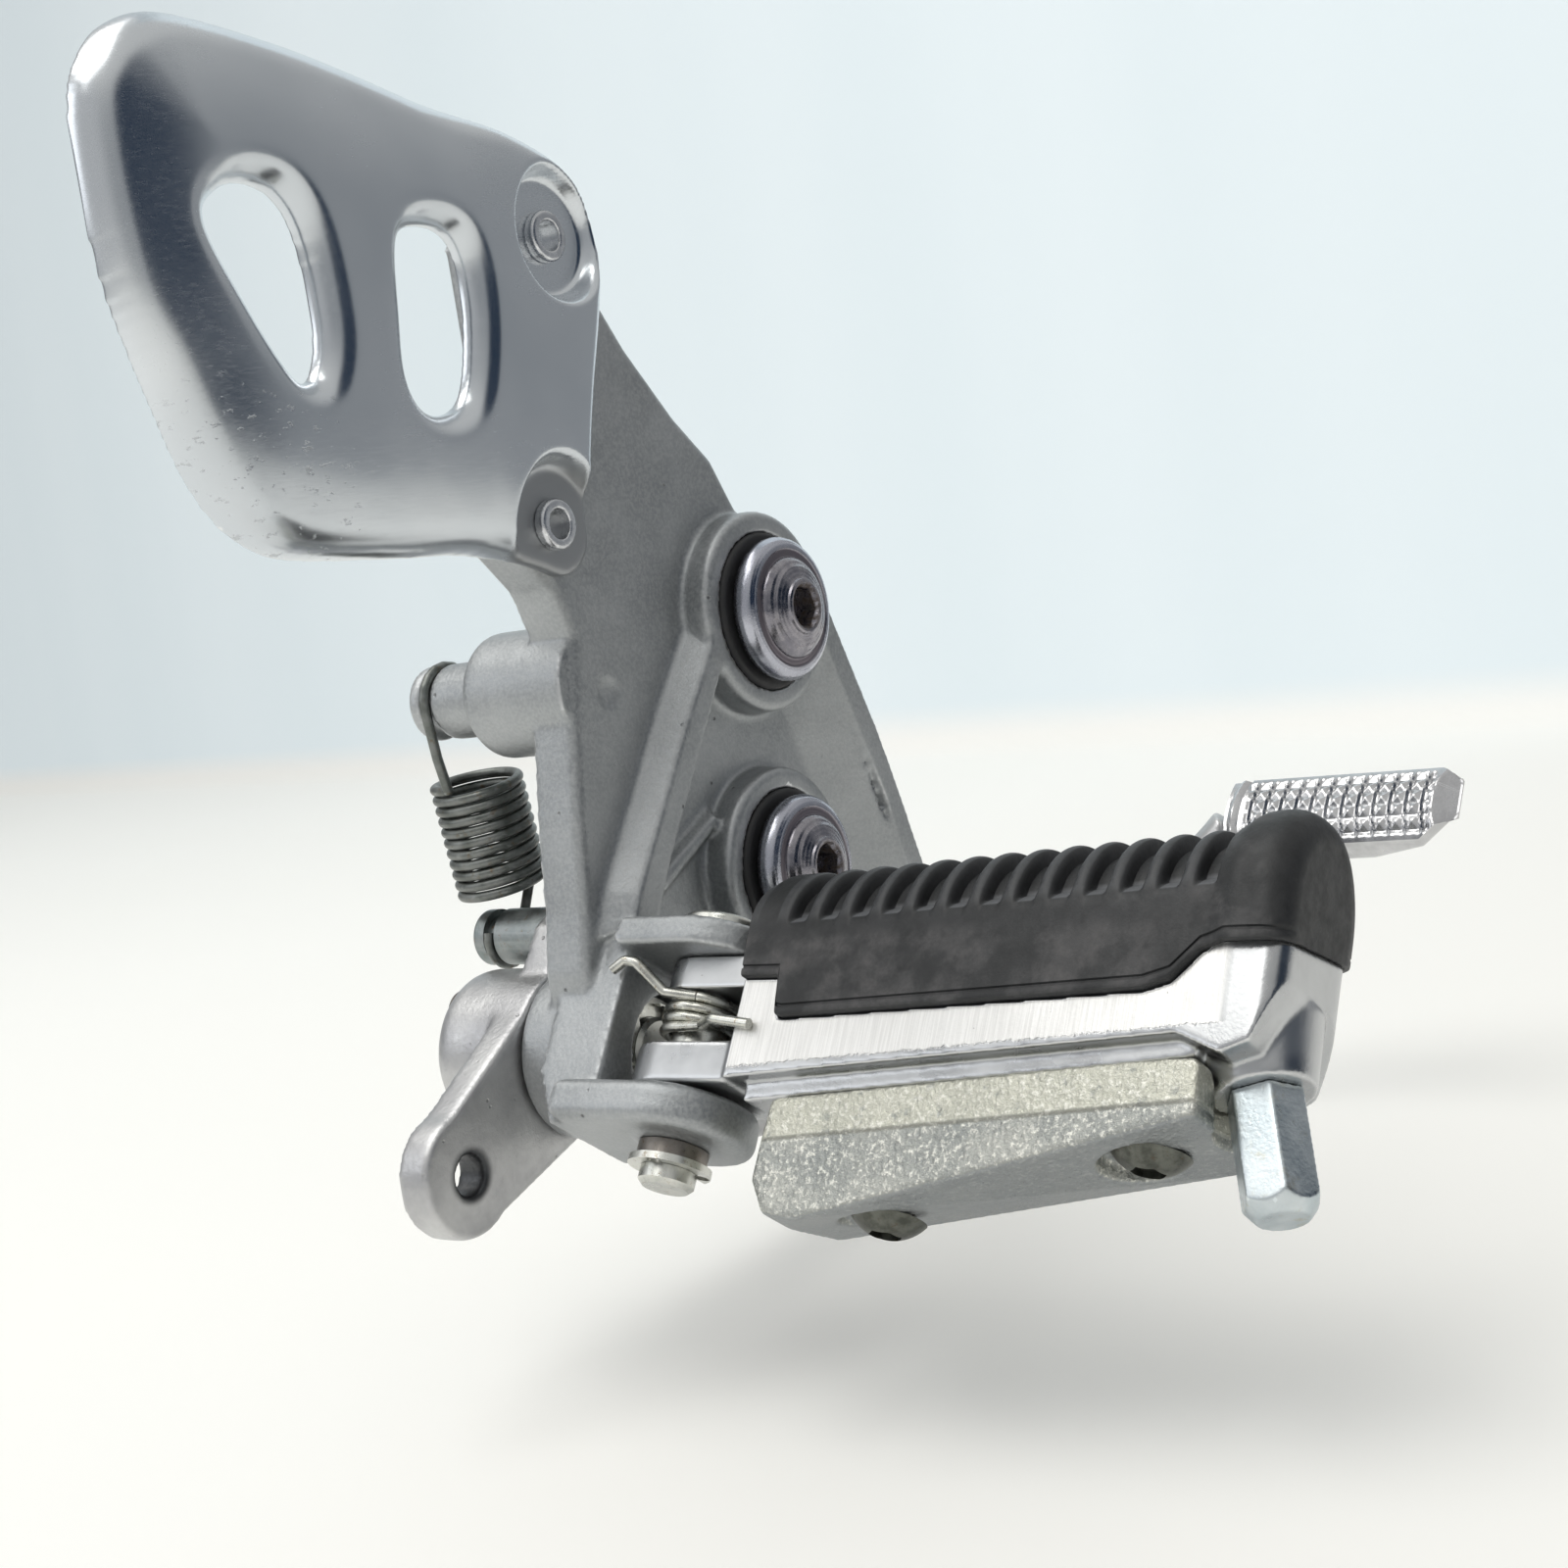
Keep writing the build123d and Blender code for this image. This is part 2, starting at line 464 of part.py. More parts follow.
def peg_casting():
    band = side_slab(BAND, PEG_REAR, PEG_FRONT)
    band = soften(band, band.faces().sort_by(Axis.X)[-1].edges(), 3.0)
    band += end_wedge(0.0)
    body = band + side_slab(CORE, PEG_REAR + 3.0, PEG_FRONT - 3.0)
    body += side_slab(KEEL, PEG_REAR + 2.4, PEG_FRONT - 2.4)
    for radius, (low, high) in zip(LUG_R, (PEG_LOW_LUG, PEG_UP_LUG)):
        body += disc(radius, low, high)
        body += Pos(6.0, 0, (low + high) / 2) * Box(12.0, 2 * radius, high - low)
    body = rounded_end(body, 90.6, PEG_REAR, PEG_FRONT, 3.0, 6.5) + flare(0.0)
    for at in WEIGHT_BOLTS:
        body -= disc(3.0, -20.0, 4.0, (at, PEG_MID))
    body -= disc(PIN_R + PIN_FIT, -30.0, 30.0)
    body -= FEELER * Pos(0, 0, -12.0) * Cylinder(3.0, 40.0)
    return body


def rounded_end(body, length, rear, front, rear_r, front_r):
    """Trims the outer end of the body to a plan view with round corners."""
    plan = make_face(Polyline((-60.0, rear), (length, rear), (length, front), (-60.0, front), close=True))
    plan = fillet(plan.vertices().group_by(Axis.X)[-1].sort_by(Axis.Y)[0], rear_r)
    plan = fillet(plan.vertices().sort_by(Axis.Y)[-2:].sort_by(Axis.X)[-1], front_r)
    return body & Pos(0, 0, -60.0) * extrude(plan, amount=120.0)


def flare(grow):
    """Boss that widens from the feeler into the end of the metal peg."""
    cone = Cone(8.6 + grow, 6.3 + grow, 9.0, align=(Align.CENTER, Align.CENTER, Align.MIN))
    return FEELER * Pos(0, 0, -9.0) * cone


def end_wedge(grow):
    """Top of the metal end, rising towards the front under the end block of the pad."""
    rear, front = PEG_REAR - grow, PEG_FRONT + grow
    section = [(rear, 1.0), (rear, 5.2 - 0.209 * grow), (front, 9.8 + 0.209 * grow), (front, 1.0)]
    plane = Plane(origin=(81.0, 0, 0), x_dir=(0, 1, 0), z_dir=(1, 0, 0))
    return extrude(plane * make_face(Polyline(*section, close=True)), amount=9.6 + grow)


FEELER = Pos(*FEELER_AT) * Rot(0, 180 - FEELER_LEAN, 0)


def peg_rubber():
    """Ribbed pad: a half-round tread over two side flaps, cut to fit the metal."""
    tread = Plane(origin=(0, 0, 0), x_dir=(0, 1, 0), z_dir=(1, 0, 0))
    r = RUBBER_R
    face = tread * make_face(
        Line((-r, -26), (-r, 0)) + ThreePointArc((-r, 0), (0, r), (r, 0)) + Line((r, 0), (r, -26))
        + Line((r, -26), (-r, -26)))
    dome = Pos(2.0, 0, 0) * extrude(face, amount=94.0)
    ring = Pos(0, 0, 20.0) * Box(2.5, 60.0, 40.0)
    for i in range(RIB_COUNT):
        groove = ring - Rot(0, 90, 0) * Cylinder(r - 2.0, 10.0)
        dome -= Pos(19.6 + RIB_PITCH * i, 0, 0) * groove
    rise = Pos(0, PEG_MID, 8.0) * Rot(0, -PAD_RISE, 0)
    pad = (rise * dome) & side_slab(PAD, -30.0, 30.0)
    end = Pos(0, 0, 80.4) * Cylinder(r + 1.2, 10.4, align=(Align.CENTER, Align.CENTER, Align.MIN))
    pad += (Pos(0, PEG_MID, 9.3) * Rot(0, 90 - PAD_RISE, 0) * end) & side_slab(PAD, -30.0, 30.0)
    pad = rounded_end(pad, 91.0, PEG_MID - r - 1.2, PEG_MID + r + 1.2, 4.0, 7.5)
    pad -= side_slab([(0.0, -30.0), (0.0, 8.0), (12.6, 8.0), (86.0, 11.0), (89.0, 2.0), (89.0, -30.0)],
                     PEG_REAR + 3.0, PEG_FRONT - 3.0)
    pad -= side_slab(BAND, PEG_REAR - 2.0, PEG_FRONT + 2.0)
    pad -= end_wedge(2.0)
    return pad


# ---- balance weight and feeler ----
WEIGHT = [(20.5, -15.3), (72.0, -9.9), (81.5, -9.2), (82.0, -16.6), (28.0, -31.6), (23.0, -31.0),
          (20.2, -26.5)]
WEIGHT_SEATS = (-27.8, -18.2)


def balance_weight():
    block = side_slab(WEIGHT, PEG_REAR + 0.6, PEG_FRONT - 0.6)
    rear, front = PEG_REAR + 0.6, PEG_FRONT - 0.6
    block -= below_plane((28.0, rear, -31.6), (82.0, rear, -16.6), (82.0, front, -16.2))
    block -= below_plane((28.0, rear, -31.6), (28.0, front, -27.0), (82.0, front, -16.4))
    block = soften(block, block.edges().filter_by(Axis.Y), 1.2)
    for at, seat in zip(WEIGHT_BOLTS, WEIGHT_SEATS):
        block -= disc(6.3, -40.0, seat, (at, PEG_MID))
        block -= disc(3.2, -40.0, 0.0, (at, PEG_MID))
    return block - flare(0.4) - FEELER * Pos(0, 0, -6.0) * Cylinder(6.7, 60.0)


def below_plane(a, b, c):
    """Thick plate under the plane through three points."""
    a, b, c = Vector(*a), Vector(*b), Vector(*c)
    down = (b - a).cross(c - a)
    if down.Z > 0:
        down = down * -1.0
    return extrude(Plane(origin=a, x_dir=b - a, z_dir=down) * Rectangle(300, 300), amount=20.0)


def weight_bolt(at, seat):
    ball = Pos(at, PEG_MID, seat + 3.6) * Sphere(6.3)
    head = ball & disc(5.25, seat - 3.0, seat - 0.02, (at, PEG_MID))
    bolt = head + disc(2.98, seat - 0.1, 2.0, (at, PEG_MID))
    return bolt - Pos(at, PEG_MID, seat - 3.0) * Rot(0, 0, 15) * extrude(
        RegularPolygon(2.0, 6, major_radius=False), amount=1.6)


def bank_feeler():
    hexagon = RegularPolygon(HEX_AF / 2, 6, major_radius=False)
    body = extrude(hexagon, amount=FEELER_OUT)
    tip = Pos(0, 0, FEELER_OUT - 3.0) * Cone(5.6, 3.2, 3.0, align=(Align.CENTER, Align.CENTER, Align.MIN))
    shaft = Cylinder(9.0, FEELER_OUT - 3.0, align=(Align.CENTER, Align.CENTER, Align.MIN))
    body = body & (shaft + tip)
    stud = Pos(0, 0, -10.0) * Cylinder(2.98, 10.5, align=(Align.CENTER, Align.CENTER, Align.MIN))
    return FEELER * (body + stud)


def write_all():
    save("bracket_casting", bracket_casting())
    save("heel_guard", heel_guard())
    save("heel_guard_rivets", *[guard_rivet(at) for at in GUARD_HOLES])
    save("mounting_bolts", *[mounting_bolt(at) for at in MOUNTS])
    save("mounting_grommets", *[grommet(at) for at in MOUNTS])
    save("mounting_sleeves", *[sleeve(at) for at in MOUNTS])
    save("pedal_pivot_shaft", pivot_shaft())
    save("pedal_pivot_clip", pivot_clip())
    save("pedal_pivot_washer", pivot_washer())
    save("pedal_bush", pedal_bush())
    save("brake_pedal", brake_pedal())
    save("hub_screw", hub_screw())
    save("toe_tip", toe_tip())
    save("spring_anchor_pin", anchor_pin())
    save("brake_return_spring", return_spring())
    save("peg_pin", PEG * peg_pin())
    save("peg_pin_washer", PEG * pin_washer())
    save("peg_pin_clip", PEG * pin_clip())
    save("peg_return_spring", PEG * torsion_spring())
    save("peg_casting", PEG * peg_casting())
    save("peg_rubber", PEG * peg_rubber())
    save("balance_weight", PEG * balance_weight())
    bolts = [weight_bolt(at, seat) for at, seat in zip(WEIGHT_BOLTS, WEIGHT_SEATS)]
    save("weight_bolts", *[PEG * bolt for bolt in bolts])
    save("bank_feeler", PEG * bank_feeler())


write_all()
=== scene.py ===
import json
from math import cos, pi, radians, sin, sqrt, tan

import bmesh
import bpy
import numpy as np
from mathutils import Matrix, Vector


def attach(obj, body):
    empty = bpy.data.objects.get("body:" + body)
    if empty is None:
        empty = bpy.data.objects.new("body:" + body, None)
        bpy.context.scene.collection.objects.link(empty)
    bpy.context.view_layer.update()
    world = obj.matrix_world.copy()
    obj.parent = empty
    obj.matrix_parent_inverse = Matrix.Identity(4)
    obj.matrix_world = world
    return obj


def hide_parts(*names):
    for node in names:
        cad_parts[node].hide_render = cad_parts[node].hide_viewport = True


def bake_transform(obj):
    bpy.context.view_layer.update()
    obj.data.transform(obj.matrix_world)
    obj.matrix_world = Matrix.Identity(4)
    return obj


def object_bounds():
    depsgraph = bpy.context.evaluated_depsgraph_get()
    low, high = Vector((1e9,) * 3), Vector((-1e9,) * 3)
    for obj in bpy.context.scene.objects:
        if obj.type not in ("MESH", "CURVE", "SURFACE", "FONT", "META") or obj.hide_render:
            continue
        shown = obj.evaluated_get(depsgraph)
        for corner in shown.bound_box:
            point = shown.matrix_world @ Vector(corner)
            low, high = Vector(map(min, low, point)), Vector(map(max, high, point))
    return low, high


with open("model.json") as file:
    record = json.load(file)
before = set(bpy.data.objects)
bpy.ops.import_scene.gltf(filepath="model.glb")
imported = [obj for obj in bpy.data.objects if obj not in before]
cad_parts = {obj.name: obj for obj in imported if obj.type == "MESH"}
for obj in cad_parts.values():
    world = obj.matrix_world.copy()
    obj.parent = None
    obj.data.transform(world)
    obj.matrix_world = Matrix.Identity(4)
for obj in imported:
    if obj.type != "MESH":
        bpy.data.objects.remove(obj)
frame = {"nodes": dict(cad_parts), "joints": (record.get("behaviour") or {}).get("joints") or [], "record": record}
CAD_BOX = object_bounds()

# ---- frames (metres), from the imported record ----
JOINTS = {j["name"]: j for j in frame["joints"]}
MOUNTS = {m["name"]: m for m in frame["record"]["mounts"]}


def axes_matrix(origin, x, y, z):
    m = Matrix((x, y, z)).transposed().to_4x4()
    m.translation = Vector(origin)
    return m


_up = -Vector(JOINTS["peg_fold"]["axis"]).normalized()
_out = Vector((0, -1, 0))
PEG = axes_matrix(JOINTS["peg_fold"]["pos_m"], _out, _up.cross(_out), _up)
_tread = Vector((0.669, 0, 0.743)).normalized()
TIP = axes_matrix((0.1018, -0.0435, -0.0542), _tread, _out.cross(_tread), _out)
IDENTITY = Matrix.Identity(4)
RISE = tan(radians(2.9))  # slope of the peg's tread along its length
RIB_PITCH = 5.0  # mm between the ribs of the peg's rubber
STROKE = 10.0  # degrees, the pedal's limit in the record


def lowest_in_stroke():
    """Lowest height that the brake pedal reaches, which sets the floor's height."""
    joint = JOINTS["brake_stroke"]
    pivot = Vector(joint["pos_m"])
    turn = Matrix.Rotation(radians(STROKE), 3, Vector(joint["axis"]))
    return min((pivot + turn @ (v.co - pivot)).z for v in frame["nodes"]["brake_pedal"].data.vertices)


FLOOR_Z = min(CAD_BOX[0].z, lowest_in_stroke()) - 0.0005
EYE_POINT = Vector((-0.30013, -0.23308, 0.01070))  # where the camera stands


def smooth(lo, hi, x):
    t = min(1.0, max(0.0, (x - lo) / (hi - lo)))
    return t * t * (3 - 2 * t)


# ---- node materials, working in millimetres of object space ----
class Look:
    def __init__(self, name, metallic=1.0, **fixed):
        self.mat = bpy.data.materials.new(name)
        self.mat.use_nodes = True
        self.tree = self.mat.node_tree
        self.shader = self.tree.nodes["Principled BSDF"]
        self.shader.inputs["Metallic"].default_value = metallic
        for key, value in fixed.items():
            self.shader.inputs[key.replace("_", " ")].default_value = value
        self.coords = self.node("ShaderNodeTexCoord")
        scaled = self.node("ShaderNodeVectorMath", operation="SCALE")
        self.put(self.coords.outputs["Object"], scaled.inputs[0])
        scaled.inputs["Scale"].default_value = 1000.0
        self.mm = scaled.outputs[0]
        split = self.node("ShaderNodeSeparateXYZ")
        self.put(self.mm, split.inputs[0])
        self.x, self.y, self.z = split.outputs
        self.normal = None

    def node(self, kind, **props):
        made = self.tree.nodes.new(kind)
        for key, value in props.items():
            setattr(made, key, value)
        return made

    def put(self, value, socket):
        if isinstance(value, bpy.types.NodeSocket):
            self.tree.links.new(value, socket)
        elif isinstance(value, tuple) and socket.type == "RGBA" and len(value) == 3:
            socket.default_value = value + (1.0,)
        else:
            socket.default_value = value

    def noise(self, size, detail=2.0, rough=0.5, stretch=(1, 1, 1), at=(0, 0, 0)):
        place = self.node("ShaderNodeMapping")
        self.put(self.mm, place.inputs["Vector"])
        place.inputs["Scale"].default_value = [1.0 / (size * s) for s in stretch]
        place.inputs["Location"].default_value = at
        made = self.node("ShaderNodeTexNoise")
        self.put(place.outputs[0], made.inputs["Vector"])
        made.inputs["Scale"].default_value = 1.0
        made.inputs["Detail"].default_value = detail
        made.inputs["Roughness"].default_value = rough
        return made.outputs["Fac"]

    def cells(self, size, at=(0, 0, 0)):
        place = self.node("ShaderNodeMapping")
        self.put(self.mm, place.inputs["Vector"])
        place.inputs["Scale"].default_value = [1.0 / size] * 3
        place.inputs["Location"].default_value = at
        made = self.node("ShaderNodeTexVoronoi")
        self.put(place.outputs[0], made.inputs["Vector"])
        made.inputs["Scale"].default_value = 1.0
        return made.outputs["Distance"]

    def calc(self, operation, a, b=0.0, c=0.0):
        made = self.node("ShaderNodeMath", operation=operation)
        for value, socket in zip((a, b, c), made.inputs):
            self.put(value, socket)
        return made.outputs[0]

    def band(self, value, lo, hi, low=0.0, high=1.0):
        made = self.node("ShaderNodeMapRange", interpolation_type="SMOOTHSTEP")
        for item, socket in zip((value, lo, hi, low, high), made.inputs):
            self.put(item, socket)
        return made.outputs[0]

    def mix(self, fac, a, b, mode="MIX"):
        made = self.node("ShaderNodeMix", data_type="RGBA", blend_type=mode)
        self.put(fac, made.inputs[0])
        self.put(a, made.inputs[6])
        self.put(b, made.inputs[7])
        return made.outputs[2]

    def near(self, centre, radius, soft=0.6):
        """1 within radius mm of a point, falling to 0."""
        away = self.node("ShaderNodeVectorMath", operation="DISTANCE")
        self.put(self.mm, away.inputs[0])
        away.inputs[1].default_value = centre
        return self.band(away.outputs["Value"], radius - soft, radius + soft, 1.0, 0.0)

    def ring(self, ax, bx, a, b, radius, width):
        """1 on a circle about (a, b) in the plane of the two coordinates."""
        r = self.calc("SQRT", self.calc("ADD", self.calc("POWER", self.calc("SUBTRACT", ax, a), 2.0),
                                        self.calc("POWER", self.calc("SUBTRACT", bx, b), 2.0)))
        return self.band(self.calc("ABSOLUTE", self.calc("SUBTRACT", r, radius)), 0.0, width, 1.0, 0.0)

    def facing(self, direction):
        made = self.node("ShaderNodeVectorMath", operation="DOT_PRODUCT")
        self.put(self.coords.outputs["Normal"], made.inputs[0])
        made.inputs[1].default_value = direction
        return made.outputs["Value"]

    def edges(self, lo=0.52, hi=0.6):
        made = self.node("ShaderNodeNewGeometry")
        return self.band(made.outputs["Pointiness"], lo, hi)

    def bump(self, height, depth, strength=1.0):
        """depth is in millimetres."""
        made = self.node("ShaderNodeBump")
        made.inputs["Strength"].default_value = strength
        made.inputs["Distance"].default_value = depth * 0.001
        self.put(height, made.inputs["Height"])
        if self.normal is not None:
            self.put(self.normal, made.inputs["Normal"])
        self.normal = made.outputs[0]

    def done(self, colour, roughness, metallic=None):
        self.put(colour, self.shader.inputs["Base Color"])
        self.put(roughness, self.shader.inputs["Roughness"])
        if metallic is not None:
            self.put(metallic, self.shader.inputs["Metallic"])
        if self.normal is not None:
            self.put(self.normal, self.shader.inputs["Normal"])
        return self.mat


def cast_look():
    k = Look("bracket_cast", 0.85)
    broad = k.noise(16.0, 3.0)
    grain = k.noise(0.55, 3.0, 0.6)
    pits = k.band(k.cells(3.4), 0.05, 0.11, 1.0, 0.0)
    pits = k.calc("MULTIPLY", pits, k.band(k.noise(6.0), 0.55, 0.62))
    colour = k.mix(k.band(broad, 0.3, 0.7), (0.31, 0.325, 0.335), (0.39, 0.405, 0.415))
    colour = k.mix(k.band(grain, 0.35, 0.7, 0.0, 0.35), colour, (0.60, 0.61, 0.61))
    # lighter colour on convex edges: a painted highlight along the edges
    colour = k.mix(k.calc("MULTIPLY", k.edges(0.515, 0.56), 0.75), colour, (0.84, 0.85, 0.86))
    scuff = k.band(k.noise(2.0, 4.0, 0.7), 0.66, 0.74, 0.0, 0.25)
    colour = k.mix(scuff, colour, (0.68, 0.69, 0.70))
    colour = k.mix(k.calc("MULTIPLY", pits, 0.7), colour, (0.12, 0.12, 0.12))
    k.bump(grain, 0.06)
    k.bump(k.noise(3.5, 2.0), 0.12)
    k.bump(pits, -0.15)
    rough = k.calc("SUBTRACT", k.band(grain, 0.2, 0.8, 0.38, 0.56), k.calc("MULTIPLY", k.edges(), 0.12))
    return k.done(colour, rough)


def guard_look():
    k = Look("guard_polished", 1.0)
    haze = k.noise(24.0, 2.0, 0.5)
    lines = k.noise(0.35, 3.0, 0.7, (9, 1, 1))
    colour = k.mix(k.band(haze, 0.3, 0.7), (0.60, 0.635, 0.67), (0.68, 0.71, 0.74))
    # near-white colour on the rolled rims and window lips: a painted highlight
    colour = k.mix(k.calc("MULTIPLY", k.edges(0.53, 0.60), 0.6), colour, (0.86, 0.87, 0.88))
    low = k.calc("MULTIPLY", k.band(k.z, 30.0, 44.0, 1.0, 0.0), k.band(k.x, -78.0, -92.0))
    marks = k.calc("MULTIPLY", low, k.band(k.noise(2.4, 4.0, 0.75, (1, 1, 0.5)), 0.60, 0.66))
    colour = k.mix(k.calc("MULTIPLY", marks, 0.3), colour, (0.30, 0.30, 0.30))
    tab = k.near((-43.6, -16.0, 15.6), 10.5, 1.5)
    colour = k.mix(tab, colour, (0.36, 0.37, 0.38))
    k.bump(k.noise(9.0, 1.0), 0.05)
    k.bump(lines, 0.002)
    k.bump(marks, -0.015)
    rough = k.calc("ADD", k.band(haze, 0.3, 0.75, 0.19, 0.25), k.band(lines, 0.4, 0.75, 0.0, 0.05))
    rough = k.calc("ADD", rough, k.calc("MULTIPLY", marks, 0.2))
    rough = k.calc("ADD", rough, k.calc("MULTIPLY", tab, 0.18))
    return k.done(colour, rough)


def bolt_look():
    k = Look("bolt_dark_zinc", 1.0)
    r = k.calc("SQRT", k.calc("ADD", k.calc("POWER", k.x, 2.0), k.calc("POWER", k.y, 2.0)))
    turned = k.calc("SINE", k.calc("MULTIPLY", r, 9.0))
    blotch = k.noise(2.2, 4.0, 0.7)
    colour = k.mix(k.band(blotch, 0.35, 0.7), (0.22, 0.215, 0.245), (0.37, 0.355, 0.38))
    outer = k.band(r, 8.8, 10.0)
    colour = k.mix(outer, colour, (0.47, 0.48, 0.54))
    ringed = k.calc("MULTIPLY", k.band(r, 7.8, 8.2), k.band(r, 9.0, 9.4, 1.0, 0.0))
    colour = k.mix(k.calc("MULTIPLY", ringed, 0.9), colour, (0.17, 0.15, 0.17))
    grime = k.calc("MULTIPLY", k.band(r, 3.2, 4.2, 1.0, 0.0), k.band(k.noise(1.1, 4.0, 0.7), 0.38, 0.62))
    colour = k.mix(grime, colour, (0.10, 0.075, 0.06))
    rust = k.calc("MULTIPLY", k.band(r, 3.0, 4.0), k.band(k.noise(0.9, 4.0, 0.7), 0.66, 0.72, 0.0, 0.5))
    colour = k.mix(rust, colour, (0.22, 0.15, 0.11))
    k.bump(turned, 0.012)
    k.bump(k.noise(0.5, 3.0, 0.6), 0.02)
    rough = k.calc("ADD", k.band(blotch, 0.3, 0.7, 0.16, 0.32), k.calc("MULTIPLY", grime, 0.4))
    rough = k.calc("ADD", rough, k.calc("MULTIPLY", ringed, 0.16))
    return k.done(colour, rough, k.calc("SUBTRACT", 1.0, k.calc("MULTIPLY", grime, 0.7)))


def rubber_look():
    k = Look("rubber_pad", 0.0, IOR=1.5)
    fine = k.noise(0.4, 3.0, 0.6)
    patch = k.noise(7.0, 5.0, 0.62)
    cloud = k.noise(2.2, 5.0, 0.7)
    flap = k.calc("MULTIPLY", k.band(k.facing((0, -1, 0)), 0.55, 0.9), k.band(k.z, 9.0, 6.0))
    block = k.calc("MULTIPLY", k.band(k.facing((0, -1, 0)), 0.35, 0.9), k.band(k.x, 76.0, 80.0))
    block = k.calc("MULTIPLY", block, k.band(k.x, 88.0, 84.0))
    # faces turned up and back toward the light; the pale dust laid on them below is partly dust, partly a painted
    # highlight
    lit_faces = k.calc("MAXIMUM", flap, block)
    base = k.mix(k.band(patch, 0.35, 0.65), (0.012, 0.013, 0.014), (0.024, 0.025, 0.027))
    dust_and_sheen = k.calc("MULTIPLY", lit_faces, k.band(patch, 0.42, 0.66))
    dust_and_sheen = k.calc("MULTIPLY", dust_and_sheen, k.band(cloud, 0.35, 0.65, 0.35, 1.0))
    base = k.mix(k.calc("MULTIPLY", dust_and_sheen, 0.65), base, (0.135, 0.130, 0.130))
    above = k.calc("SUBTRACT", k.z, k.calc("ADD", 8.0, k.calc("MULTIPLY", k.x, RISE)))
    pitch = k.calc("FLOORED_MODULO", k.calc("SUBTRACT", k.x, 17.1), RIB_PITCH)
    phase = k.calc("ABSOLUTE", k.calc("SUBTRACT", pitch, RIB_PITCH / 2))
    foot = k.calc("MULTIPLY", k.band(above, 0.0, 0.5), k.band(above, 3.0, 2.0))
    # light triangles at the lower ends of the grooves: a painted highlight where the groove ends catch the light
    notch_highlight = k.calc("MULTIPLY", k.band(phase, 1.35, 0.9), foot)
    notch_highlight = k.calc("MULTIPLY", notch_highlight, k.band(k.y, 0.0, -4.0))
    notch_highlight = k.calc("MULTIPLY", notch_highlight, k.band(k.x, 83.0, 81.5))
    notch_highlight = k.calc("MULTIPLY", notch_highlight, k.band(k.x, 17.5, 18.5))
    base = k.mix(k.calc("MULTIPLY", notch_highlight, 0.75), base, (0.16, 0.165, 0.175))
    # ribs lighter than the grooves between them: painted highlight on the ribs and painted shade in the grooves
    rib = k.calc("MULTIPLY", k.band(phase, 1.5, 1.8), k.band(above, 0.0, 1.5))
    rib = k.calc("MULTIPLY", rib, k.band(k.x, 81.0, 80.0))
    rib = k.calc("MULTIPLY", rib, k.band(cloud, 0.3, 0.7, 0.3, 0.75))
    base = k.mix(rib, base, (0.072, 0.075, 0.080))
    # lighter colour on the rib crests: a painted highlight
    crest = k.calc("MULTIPLY", k.edges(0.515, 0.60), k.band(cloud, 0.4, 0.7))
    base = k.mix(k.calc("MULTIPLY", crest, 0.5), base, (0.085, 0.088, 0.090))
    k.bump(fine, 0.03)
    k.bump(cloud, 0.05)
    rough = k.calc("ADD", k.band(cloud, 0.3, 0.7, 0.46, 0.60), k.calc("MULTIPLY", dust_and_sheen, 0.2))
    return k.done(base, rough)


def peg_look():
    k = Look("peg_milled", 1.0)
    lines = k.noise(0.22, 2.0, 0.6, (1, 1, 40))
    fine = k.noise(0.6, 3.0, 0.6)
    broad = k.noise(8.0, 3.0)
    border = k.calc("ADD", -6.3, k.calc("MULTIPLY", k.calc("SUBTRACT", k.x, 78.0), 0.085))
    border = k.calc("ADD", border, k.calc("MULTIPLY", k.noise(1.2, 4.0, 0.7), 1.4))
    above = k.band(k.calc("SUBTRACT", k.z, border), -0.3, 0.1)
    milled = k.calc("MULTIPLY", k.band(k.facing((0, -1, 0)), 0.93, 0.985), above)
    milled = k.calc("MULTIPLY", milled, k.band(k.x, 84.5, 83.0))
    milled = k.calc("MULTIPLY", milled, k.band(k.x, 12.4, 12.8))
    cast = k.mix(k.band(broad, 0.3, 0.7), (0.44, 0.45, 0.46), (0.56, 0.57, 0.58))
    # near-white colour on convex edges: a painted highlight
    cast = k.mix(k.calc("MULTIPLY", k.edges(0.51, 0.57), 0.6), cast, (0.90, 0.90, 0.90))
    cut = k.mix(k.band(lines, 0.35, 0.7), (0.70, 0.695, 0.68), (0.80, 0.795, 0.78))
    colour = k.mix(milled, cast, cut)
    specks = k.calc("MULTIPLY", k.band(k.noise(0.9, 2.0), 0.74, 0.79), k.band(k.noise(5.0), 0.5, 0.6))
    colour = k.mix(k.calc("MULTIPLY", specks, 0.75), colour, (0.16, 0.15, 0.14))
    k.bump(k.calc("MULTIPLY", lines, milled), 0.02)
    k.bump(fine, 0.02)
    k.bump(k.calc("MULTIPLY", milled, -1.0), 0.10)
    rough = k.calc("ADD", k.calc("MULTIPLY", milled, 0.16), k.band(broad, 0.3, 0.7, 0.24, 0.34))
    return k.done(colour, rough)


